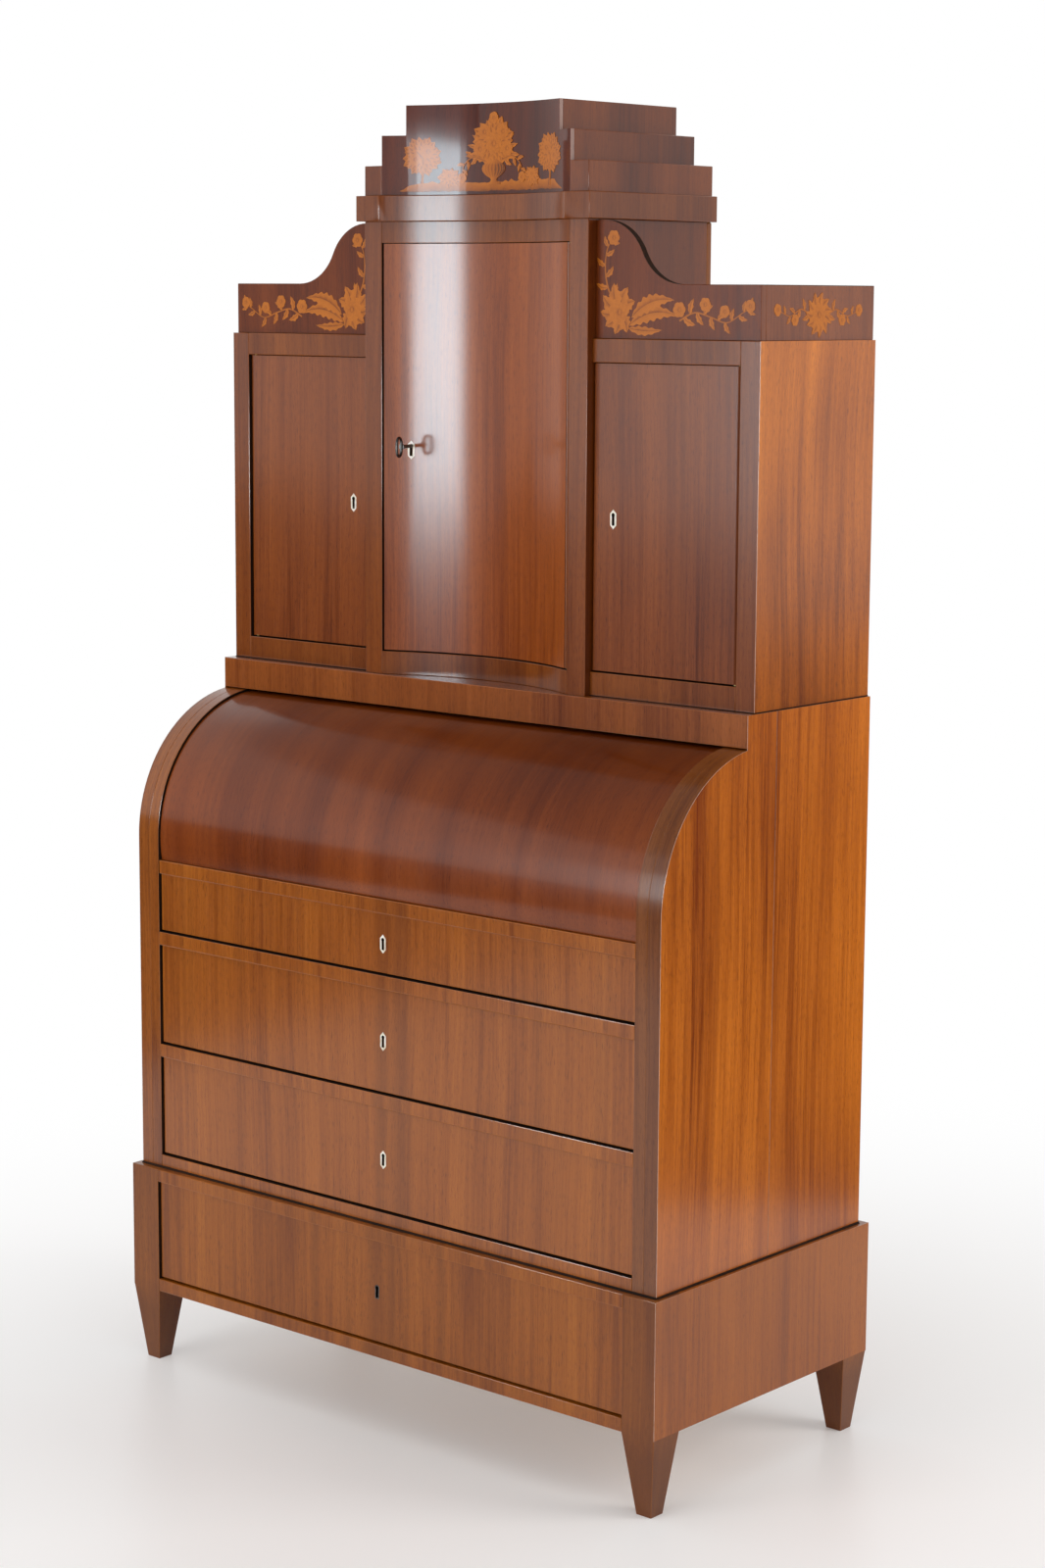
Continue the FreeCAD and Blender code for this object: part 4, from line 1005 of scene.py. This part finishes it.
def petal_tile(root, tip, width):
    """A round petal as rows across it, scorched at its root."""
    root, tip = Vector(root), Vector(tip)
    across = Vector((root.y - tip.y, tip.x - root.x)).normalized()
    rows = []
    for step in range(LEAF_STEPS + 1):
        t = step / LEAF_STEPS
        half = width / 2 * max(math.sin(math.pi * t ** PETAL_BLUNT) ** PETAL_ROUND, NARROWEST)
        rib = root.lerp(tip, t)
        scorch = PETAL_PALE + PETAL_SCORCH * (1 - t) ** 3
        rows.append([(rib + across * half * place, scorch + PETAL_SHADE * (place + 1))
                     for place in PETAL_PLACES])
    return rows


def towards(angle):
    """A step of one unit at an angle."""
    return Vector((math.cos(angle), math.sin(angle)))


def blossom(middle, radius, petals, turn=0.0):
    """A flower seen from the front: two whorls of petals round an eye."""
    middle = Vector(middle)
    tiles = []
    for whorl, reach in WHORLS:
        for i in range(petals):
            out = towards(turn + math.tau * (i + whorl) / petals) * radius * reach
            wide = PETAL_SHARE * math.tau / petals * radius * reach
            tiles.append(petal_tile(middle + out * PETAL_ROOT, middle + out, wide))
    eye = Vector((radius * EYE_SHARE, 0))
    tiles.append(petal_tile(middle - eye, middle + eye, 2 * EYE_SHARE * radius))
    return tiles


def smooth_line(knots):
    """Points along a smooth curve through the knots."""
    knots = [Vector(k) for k in knots]
    ends = [2 * knots[0] - knots[1], *knots, 2 * knots[-1] - knots[-2]]
    line = []
    for a, b, c, d in zip(ends, ends[1:], ends[2:], ends[3:]):
        for step in range(CURVE_STEPS):
            t = step / CURVE_STEPS
            line.append(0.5 * (2 * b + (c - a) * t + (2 * a - 5 * b + 4 * c - d) * t ** 2
                               + (3 * b - a - 3 * c + d) * t ** 3))
    return [*line, knots[-1]]


def heading(line, i):
    """Which way a line runs at one of its points."""
    return (line[min(i + 1, len(line) - 1)] - line[max(i - 1, 0)]).normalized()


def stem_tile(line, thick):
    """A stalk along a line, tapering to a third of its thickness."""
    rows = []
    for i, spot in enumerate(line):
        ahead = heading(line, i)
        across = Vector((-ahead.y, ahead.x)) * thick / 2 * (1 - STEM_TAPER * i / (len(line) - 1))
        rows.append([(spot + across * place, shade) for place, shade in STEM_SHADES])
    return rows


def vine(knots, thick, leaf, every, lobes):
    """A stalk with leaves that stand off to either side by turns and shrink towards its tip."""
    line = smooth_line(knots)
    tiles = [stem_tile(line, thick)]
    for count, i in enumerate(range(FIRST_LEAF, len(line), every)):
        lean = LEAF_LEAN if count % 2 else -LEAF_LEAN
        out = Matrix.Rotation(lean, 2) @ heading(line, i) * leaf * (1 - LEAF_SHRINK * i / len(line))
        bow = LEAF_BOW * lean * out.length
        tiles.append(leaf_tile(line[i], line[i] + out, out.length * LEAF_WIDE, bow=bow, lobes=lobes))
    return tiles


def mirrored(tiles):
    """The same tiles turned over from left to right."""
    return [[[(Vector((-spot.x, spot.y)), shade) for spot, shade in row] for row in tile] for tile in tiles]


def inlay(name, tiles, lay, finish):
    """Thin closed slips of wood on a surface. lay(u, v, lift) gives a place on it and a height above it."""
    spots, rings, shades = [], [], []
    for count, tile in enumerate(tiles):
        deep, wide = len(tile), len(tile[0])
        for lift in (INLAY_FACE + count * INLAY_HAIR, -INLAY_ROOT):
            start = len(spots)
            spots += [lay(spot.x, spot.y, lift) for row in tile for spot, shade in row]
            shades += [shade for row in tile for spot, shade in row]
            rings += [(start + r * wide + c, start + r * wide + c + 1, start + (r + 1) * wide + c + 1,
                       start + (r + 1) * wide + c) for r in range(deep - 1) for c in range(wide - 1)]
        border = [*range(wide), *(r * wide + wide - 1 for r in range(1, deep)),
                  *((deep - 1) * wide + c for c in range(wide - 2, -1, -1)),
                  *(r * wide for r in range(deep - 2, 0, -1))]
        top, root = start - deep * wide, start
        rings += [(top + a, top + b, root + b, root + a) for a, b in zip(border, border[1:] + border[:1])]
    mesh = bpy.data.meshes.new(name)
    mesh.from_pydata(spots, [], rings)
    mesh.attributes.new("shade", "FLOAT", "POINT").data.foreach_set("value", shades)
    mesh.materials.append(finish)
    skin = bmesh.new()
    skin.from_mesh(mesh)
    bmesh.ops.recalc_face_normals(skin, faces=skin.faces)
    skin.to_mesh(mesh)
    skin.free()
    return show(name, mesh, "carcass")


panel_low, panel_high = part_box("pediment_panel")
hollow_depth = panel_high.y - PANEL_SHEET - panel_low.y
HOLLOW = (panel_high.x ** 2 + hollow_depth ** 2) / (2 * hollow_depth)
HOLLOW_Y = panel_low.y + hollow_depth - HOLLOW


def on_panel(u, v, lift):
    """u runs along the hollow from the middle of the panel, v up from its foot."""
    reach = HOLLOW - lift
    return Vector((reach * math.sin(u / HOLLOW), HOLLOW_Y + reach * math.cos(u / HOLLOW), panel_low.z + v))


GROUND_HALF = 0.172
GROUND_LOW = 0.006
GROUND_HIGH = 0.020
GROUND_STEPS = 56
GROUND_TAPER = 6
GROUND_END = 0.05
GROUND_WAVE = 0.0012
GRASS = (-0.0018, 0.0024)
GROUND_SHADES = (0.55, 0.30, 0.12)
URN_FOOT = 0.0155
URN_HEIGHT = 0.040
URN_HALF = 0.024
URN_PROFILE = ((0.0, 0.56), (0.06, 0.58), (0.09, 0.34), (0.17, 0.22), (0.24, 0.30), (0.36, 0.70),
               (0.50, 0.95), (0.62, 1.0), (0.74, 0.90), (0.84, 0.62), (0.88, 0.55), (0.93, 0.70), (1.0, 0.82))
URN_FLUTES = 10
URN_SHADE = 0.28
URN_ROUND = 0.22
FLUTE_SHADE = 0.3
FLUTE_FOOT = 0.3
FLUTE_TOP = 0.8
GOLDEN_TURN = math.pi * (3 - math.sqrt(5))
HEAD_FILL = 0.72
HEAD_LEAF_WIDE = 0.72
HEAD_LEAF_ROOT = 0.4
TRUNK = 0.0055
TRUNK_RAISED = 0.004
TRUNK_LEAN = 0.001
SPREAD = 0.056
SPREAD_ROOT = 0.006
SPREAD_BOW = 0.005
SPREAD_ANGLES = (4, 22, 40, 60, 82, 98, 120, 140, 158, 176)


def ground_strip():
    """The ground under urn and trees, with a ragged edge."""
    chance = random.Random("ground")
    rows = []
    for i in range(GROUND_STEPS + 1):
        u = GROUND_HALF * (2 * i / GROUND_STEPS - 1)
        taper = min(1.0, GROUND_TAPER * (1 - abs(u) / GROUND_HALF) + GROUND_END)
        low = GROUND_LOW + chance.uniform(-GROUND_WAVE, GROUND_WAVE)
        high = low + (GROUND_HIGH - GROUND_LOW + chance.uniform(*GRASS)) * taper
        levels = (low, (low + high) / 2, high)
        rows.append([(Vector((u, v)), shade) for v, shade in zip(levels, GROUND_SHADES)])
    return [rows]


def urn():
    """A fluted urn as rows from foot to lip, darker to the right."""
    rows = []
    for height, half in URN_PROFILE:
        row = []
        for i in range(2 * URN_FLUTES + 1):
            place = math.sin(math.pi / 2 * (i / URN_FLUTES - 1))
            shade = URN_SHADE + URN_ROUND * place
            if i % 2 and FLUTE_FOOT < height < FLUTE_TOP:
                shade += FLUTE_SHADE
            row.append((Vector((URN_HALF * half * place, URN_FOOT + URN_HEIGHT * height)), shade))
        rows.append(row)
    return [rows]


def leafy_head(middle, wide, tall, leaves, leaf):
    """A round head of broad leaves, laid from the rim inwards so that each overlaps the last."""
    middle = Vector(middle)
    tiles = []
    for i in range(leaves, 0, -1):
        reach = math.sqrt(i / leaves)
        out = towards(i * GOLDEN_TURN)
        root = middle + Vector((out.x * wide, out.y * tall)) * reach * HEAD_FILL
        start = root - out * leaf * HEAD_LEAF_ROOT
        tiles.append(leaf_tile(start, root + out * leaf * (1 - HEAD_LEAF_ROOT), leaf * HEAD_LEAF_WIDE))
    return tiles


def rose_tree(u, foot, middle, wide, tall, leaves, leaf):
    """A short trunk under a leafy head."""
    trunk = smooth_line([(u - 2 * TRUNK_LEAN, foot), (u + TRUNK_LEAN, (foot + middle) / 2), (u, middle)])
    return [stem_tile(trunk, TRUNK)] + leafy_head((u, middle), wide, tall, leaves, leaf)


fruitwood = inlaid_fruitwood("inlaid_fruitwood")
lip = Vector((0, URN_FOOT + URN_HEIGHT))
tiles = ground_strip()
for side in (-1, 1):
    tiles += rose_tree(side * 0.134, GROUND_LOW + TRUNK_RAISED, middle=0.060, wide=0.033, tall=0.029,
                       leaves=48, leaf=0.020)
    tiles += blossom((side * 0.124, 0.068), radius=0.0110, petals=6)
    tiles += blossom((side * 0.146, 0.056), radius=0.0100, petals=5)
    tiles += leafy_head((side * 0.086, 0.027), wide=0.019, tall=0.013, leaves=18, leaf=0.014)
    tiles += blossom((side * 0.086, 0.030), radius=0.0080, petals=6)
for angle in SPREAD_ANGLES:
    tip = lip + towards(math.radians(angle)) * SPREAD
    bow = SPREAD_BOW if angle < 90 else -SPREAD_BOW
    tiles.append(leaf_tile(lip - Vector((0, SPREAD_ROOT)), tip, width=0.020, bow=bow, lobes=5))
for side in (-1, 1):
    trail = [(0.016, 0.052), (0.040, 0.058), (0.058, 0.046), (0.062, 0.028)]
    tiles += vine([(side * u, v) for u, v in trail], thick=0.0030, leaf=0.019, every=3, lobes=3)
    tiles += blossom((side * 0.062, 0.026), radius=0.0085, petals=5)
tiles += urn() + leafy_head((0, 0.084), wide=0.044, tall=0.034, leaves=46, leaf=0.022)
for u, v, radius, petals in ((-0.028, 0.070, 0.0125, 6), (0.028, 0.070, 0.0125, 6),
                             (-0.019, 0.096, 0.0120, 5), (0.019, 0.096, 0.0120, 5),
                             (0.0, 0.078, 0.0170, 7), (0.0, 0.117, 0.0095, 5)):
    tiles += blossom((u, v), radius, petals, turn=u * 40)
inlay("pediment_inlay", tiles, on_panel, fruitwood)

# Gallery: thin boards round the wing tops, the front ones swept up to the tower like a scroll.
# A leafy scroll with roses is let into each front, and a spray of flowers into each side.
RISING = 0.05
FAN_MIDDLE = Vector((0.046, 0.040))
FAN_LEAVES = ((28, 0.034), (66, 0.040), (104, 0.044), (142, 0.040), (180, 0.036), (218, 0.034),
              (256, 0.034), (296, 0.034))
FAN_EYE = 0.004
FAN_BOW = 0.003
SPRAY_MIDDLE = Vector((0, 0.038))
SPRAY_LEAVES = 11
SPRAY_TURN = 10
SPRAY_LENGTH = 0.034

dark_veneer = veneer("dark_mahogany", (0.128, 0.023, 0.002), gloss=0.35)
gallery_side_veneer = veneer("gallery_side_mahogany", (0.182, 0.043, 0.008), gloss=0.8)


def gallery_finish(size, face):
    """Veneered on its faces, with a bare dark edge along the top and the sweep."""
    if face.normal.z > RISING and abs(face.normal.y) < SIDEWAYS:
        return dust_and_shade_edge
    return gallery_side_veneer if abs(face.normal.x) > SQUARE_ON else dark_veneer


dress("gallery", gallery_finish)
gallery_low, gallery_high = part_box("gallery")
gallery_middle = (gallery_low.y + gallery_high.y) / 2


def fan(middle, leaves, wide):
    """Broad lobed leaves that stand out from one point, each by its angle and length."""
    tiles = []
    for angle, length in leaves:
        out = towards(math.radians(angle))
        tiles.append(leaf_tile(middle + out * FAN_EYE, middle + out * length, wide, bow=FAN_BOW, lobes=4))
    return tiles


scroll = vine([(0.036, 0.052), (0.022, 0.080), (0.018, 0.108), (0.022, 0.134), (0.034, 0.148)],
              thick=0.0040, leaf=0.025, every=4, lobes=3)
scroll += blossom((0.034, 0.150), radius=0.0115, petals=6)
scroll += vine([(0.160, 0.028), (0.188, 0.040), (0.218, 0.034), (0.248, 0.026), (0.276, 0.040),
                (0.292, 0.048)], thick=0.0032, leaf=0.025, every=3, lobes=3)
scroll += [leaf_tile((0.066, 0.020), (0.158, 0.034), width=0.026, bow=0.012, lobes=7),
           leaf_tile((0.070, 0.032), (0.150, 0.058), width=0.027, bow=0.010, lobes=7),
           leaf_tile((0.064, 0.016), (0.128, 0.014), width=0.015, bow=-0.003, lobes=5)]
scroll += fan(FAN_MIDDLE, FAN_LEAVES, wide=0.026) + blossom(FAN_MIDDLE, radius=0.0175, petals=7)
for u, v, radius, petals in ((0.160, 0.044, 0.0120, 6), (0.208, 0.052, 0.0105, 6),
                             (0.244, 0.042, 0.0095, 5), (0.290, 0.050, 0.0095, 5)):
    scroll += blossom((u, v), radius, petals, turn=u * 20)
spray = vine([(0.016, 0.034), (0.044, 0.046), (0.072, 0.036), (0.100, 0.044)], thick=0.0030, leaf=0.020,
             every=3, lobes=3)
spray += blossom((0.103, 0.045), radius=0.0090, petals=5)
spray += blossom((0.060, 0.030), radius=0.0090, petals=6)
spray_turns = [360 * i / SPRAY_LEAVES + SPRAY_TURN for i in range(SPRAY_LEAVES)]
bouquet = spray + mirrored(spray)
bouquet += fan(SPRAY_MIDDLE, [(turn, SPRAY_LENGTH) for turn in spray_turns], wide=0.018)
bouquet += blossom(SPRAY_MIDDLE, radius=0.0165, petals=7)


def on_front(side):
    """u runs outwards from the tower along the front, v up from the gallery's foot."""
    return lambda u, v, lift: Vector((side * (tower_high.x + u), gallery_low.y - lift, gallery_low.z + v))


def on_side(side):
    """u runs back from the middle of a side, v up from the gallery's foot."""
    return lambda u, v, lift: Vector((side * (gallery_high.x + lift), gallery_middle + u, gallery_low.z + v))


for side, name in ((-1, "left"), (1, "right")):
    inlay(f"gallery_inlay_{name}", scroll, on_front(side), fruitwood)
    inlay(f"gallery_side_inlay_{name}", bouquet, on_side(side), fruitwood)

# Studio: a pale seamless floor that runs out to white, and large soft boxes.
# Dark cloths out of the picture keep the white room from veiling the polish.
FLOOR_REACH = 14.0
FLOOR_PAINT = (0.945, 0.915, 0.895, 1)
NEAR_FLOOR_GLOW = 0.16
FLOOR_MIDDLE = (0.62, -0.35, 0)
NEAR_FLOOR = 0.3
FAR_FLOOR = 2.9


def panel(name, corners, finish):
    """A flat sheet of the studio, which is no part of the desk."""
    mesh = bpy.data.meshes.new(name)
    mesh.from_pydata(corners, [], [(0, 1, 2, 3)])
    mesh.materials.append(finish)
    made = bpy.data.objects.new(name, mesh)
    bpy.context.scene.collection.objects.link(made)
    return made


paint, tree, shader = new_finish("studio_floor", base_color=FLOOR_PAINT, roughness=0.38)
spot = place_on(tree)
# Painted light: for camera and glossy rays the floor glows white, a small share near the desk that lifts its
# shadows and full white far out; the glow is centred right of the desk, so the floor is lighter on the left.
away = add(tree, "VectorMath", {0: spot, 1: FLOOR_MIDDLE}, operation="DISTANCE").outputs["Value"]
fading = {"Value": away, "From Min": NEAR_FLOOR, "From Max": FAR_FLOOR, "To Min": NEAR_FLOOR_GLOW}
fade = add(tree, "MapRange", fading, interpolation_type="SMOOTHERSTEP").outputs["Result"]


def seen_white(tree):
    """1 for what is seen straight, in a polish or through glass, and 0 for the light on the object."""
    rays = add(tree, "LightPath").outputs
    seen = rays["Is Camera Ray"]
    for kind in ("Is Glossy Ray", "Is Transmission Ray"):
        seen = add(tree, "Math", {0: seen, 1: rays[kind]}, operation="MAXIMUM").outputs[0]
    return seen


share = add(tree, "Math", {0: fade, 1: seen_white(tree)}, operation="MULTIPLY").outputs[0]
glow = add(tree, "Emission", {"Color": (1, 1, 1, 1), "Strength": 1.0})
both = add(tree, "MixShader", {0: share, 1: shader.outputs["BSDF"], 2: glow.outputs["Emission"]})
tree.links.new(both.outputs["Shader"], tree.nodes["Material Output"].inputs["Surface"])
quarters = ((-1, -1), (1, -1), (1, 1), (-1, 1))
panel("studio_floor", [(FLOOR_REACH * x, FLOOR_REACH * y, 0) for x, y in quarters], paint)

AMBIENT = 0.55
world = bpy.data.worlds.new("studio")
bpy.context.scene.world = world
world.use_nodes = True
tree = world.node_tree
white = add(tree, "Background", {"Color": (1, 1, 1, 1), "Strength": 1.0})
dim = add(tree, "Background", {"Color": (0.965, 0.985, 1.0, 1), "Strength": AMBIENT})
both = add(tree, "MixShader", {0: seen_white(tree), 1: dim.outputs[0], 2: white.outputs[0]})
tree.links.new(both.outputs[0], tree.nodes["World Output"].inputs["Surface"])

BLACK_CLOTH = (0.012, 0.012, 0.012, 1)
GREY_CLOTH = (0.30, 0.30, 0.30, 1)
FRONT_LINE = -3.6
FLAG_LIFT = 0.002
FLAGS = {
    "flag_front": (BLACK_CLOTH, [(1.6, FRONT_LINE, 0.0), (-8.0, FRONT_LINE, 0.0),
                                 (-8.0, FRONT_LINE, 1.12), (1.6, FRONT_LINE, 1.12)]),
    "flag_high": (BLACK_CLOTH, [(0.8, FRONT_LINE, 2.24), (-2.4, FRONT_LINE, 2.24),
                                (-2.4, FRONT_LINE, 3.3), (0.8, FRONT_LINE, 3.3)]),
    "flag_left": (BLACK_CLOTH, [(-4.0, FRONT_LINE, 0.0), (-4.0, 1.0, 0.0),
                                (-4.0, 1.0, 1.2), (-4.0, FRONT_LINE, 1.2)]),
    "flag_left_floor": (BLACK_CLOTH, [(-8.0, FRONT_LINE, FLAG_LIFT), (-2.1, FRONT_LINE, FLAG_LIFT),
                                      (-2.1, 1.0, FLAG_LIFT), (-8.0, 1.0, FLAG_LIFT)]),
    "flag_right_floor": (BLACK_CLOTH, [(3.3, -0.75, FLAG_LIFT), (11.0, 7.0, FLAG_LIFT),
                                       (7.0, 11.0, FLAG_LIFT), (-0.75, 3.3, FLAG_LIFT)]),
    "flag_ceiling": (GREY_CLOTH, [(4.0, -6.0, 3.3), (-2.65, -6.0, 3.3), (-2.65, 2.6, 3.3), (4.0, 2.6, 3.3)]),
}
for name, (cloth, corners) in FLAGS.items():
    paint = bpy.data.materials.new(name)
    paint.use_nodes = True
    tree = paint.node_tree
    shade = add(tree, "Emission", {"Color": cloth, "Strength": 1.0})
    clear = add(tree, "BsdfTransparent")
    behind = add(tree, "NewGeometry").outputs["Backfacing"]
    one_sided = add(tree, "MixShader", {0: behind, 1: shade.outputs["Emission"], 2: clear.outputs["BSDF"]})
    tree.links.new(one_sided.outputs["Shader"], tree.nodes["Material Output"].inputs["Surface"])
    flag = panel(name, corners, paint)
    flag.visible_camera = False
    flag.visible_diffuse = False
    flag.visible_shadow = False


def soft_box(name, at, target, width, height, power):
    """A lamp with a wide even face, turned to its target."""
    lamp = bpy.data.lights.new(name, "AREA")
    lamp.shape = "RECTANGLE"
    lamp.size = width
    lamp.size_y = height
    lamp.energy = power
    box = bpy.data.objects.new(name, lamp)
    box.location = at
    box.rotation_euler = (Vector(target) - Vector(at)).to_track_quat("-Z", "Y").to_euler()
    bpy.context.scene.collection.objects.link(box)
    return box


WINDOW_SKY = (0.84, 1.0, 1.09)
WINDOW_X = -1.0
for name, level, width, height, power in (("window_core", 1.72, 1.3, 0.96, 65),
                                          ("window_edge", 1.60, 1.75, 1.20, 43.6)):
    window = soft_box(name, (WINDOW_X, FRONT_LINE, level), (WINDOW_X, 0, level), width, height, power)
    window.data.color = WINDOW_SKY
    window.visible_diffuse = False
for name, at, target, width, height, power in (
        ("front_box", (-1.2, -4.6, 1.5), (0, 0, 0.8), 3.0, 2.4, 85),
        ("right_box", (3.8, 1.8, 2.2), (0.5, 0, 1.2), 1.8, 2.4, 77),
        ("top_box", (0.3, -0.8, 4.4), (0, 0, 1.0), 3.0, 3.0, 32)):
    soft_box(name, at, target, width, height, power).visible_glossy = False

# Camera: the place and lens solved from the photograph's corner points.
# It stands to the right of the desk, a little above its middle, and looks slightly down.
CAMERA_AT = Vector((3.2705, -3.7197, 1.7814))
YAW, PITCH, ROLL = (math.radians(a) for a in (40.74, -8.84, 0.32))
lens = bpy.data.cameras.new("camera")
lens.sensor_fit = "VERTICAL"
lens.sensor_height = 36
lens.lens = 71.95
camera = bpy.data.objects.new("camera", lens)
ahead = Vector((-math.sin(YAW) * math.cos(PITCH), math.cos(YAW) * math.cos(PITCH), math.sin(PITCH)))
level = ahead.cross(Vector((0, 0, 1))).normalized()
above = level.cross(ahead)
right = level * math.cos(ROLL) + above * math.sin(ROLL)
up = above * math.cos(ROLL) - level * math.sin(ROLL)
camera.matrix_world = Matrix.Translation(CAMERA_AT) @ Matrix((right, up, -ahead)).transposed().to_4x4()
bpy.context.scene.collection.objects.link(camera)
bpy.context.scene.camera = camera
bpy.context.scene.view_settings.view_transform = "Standard"
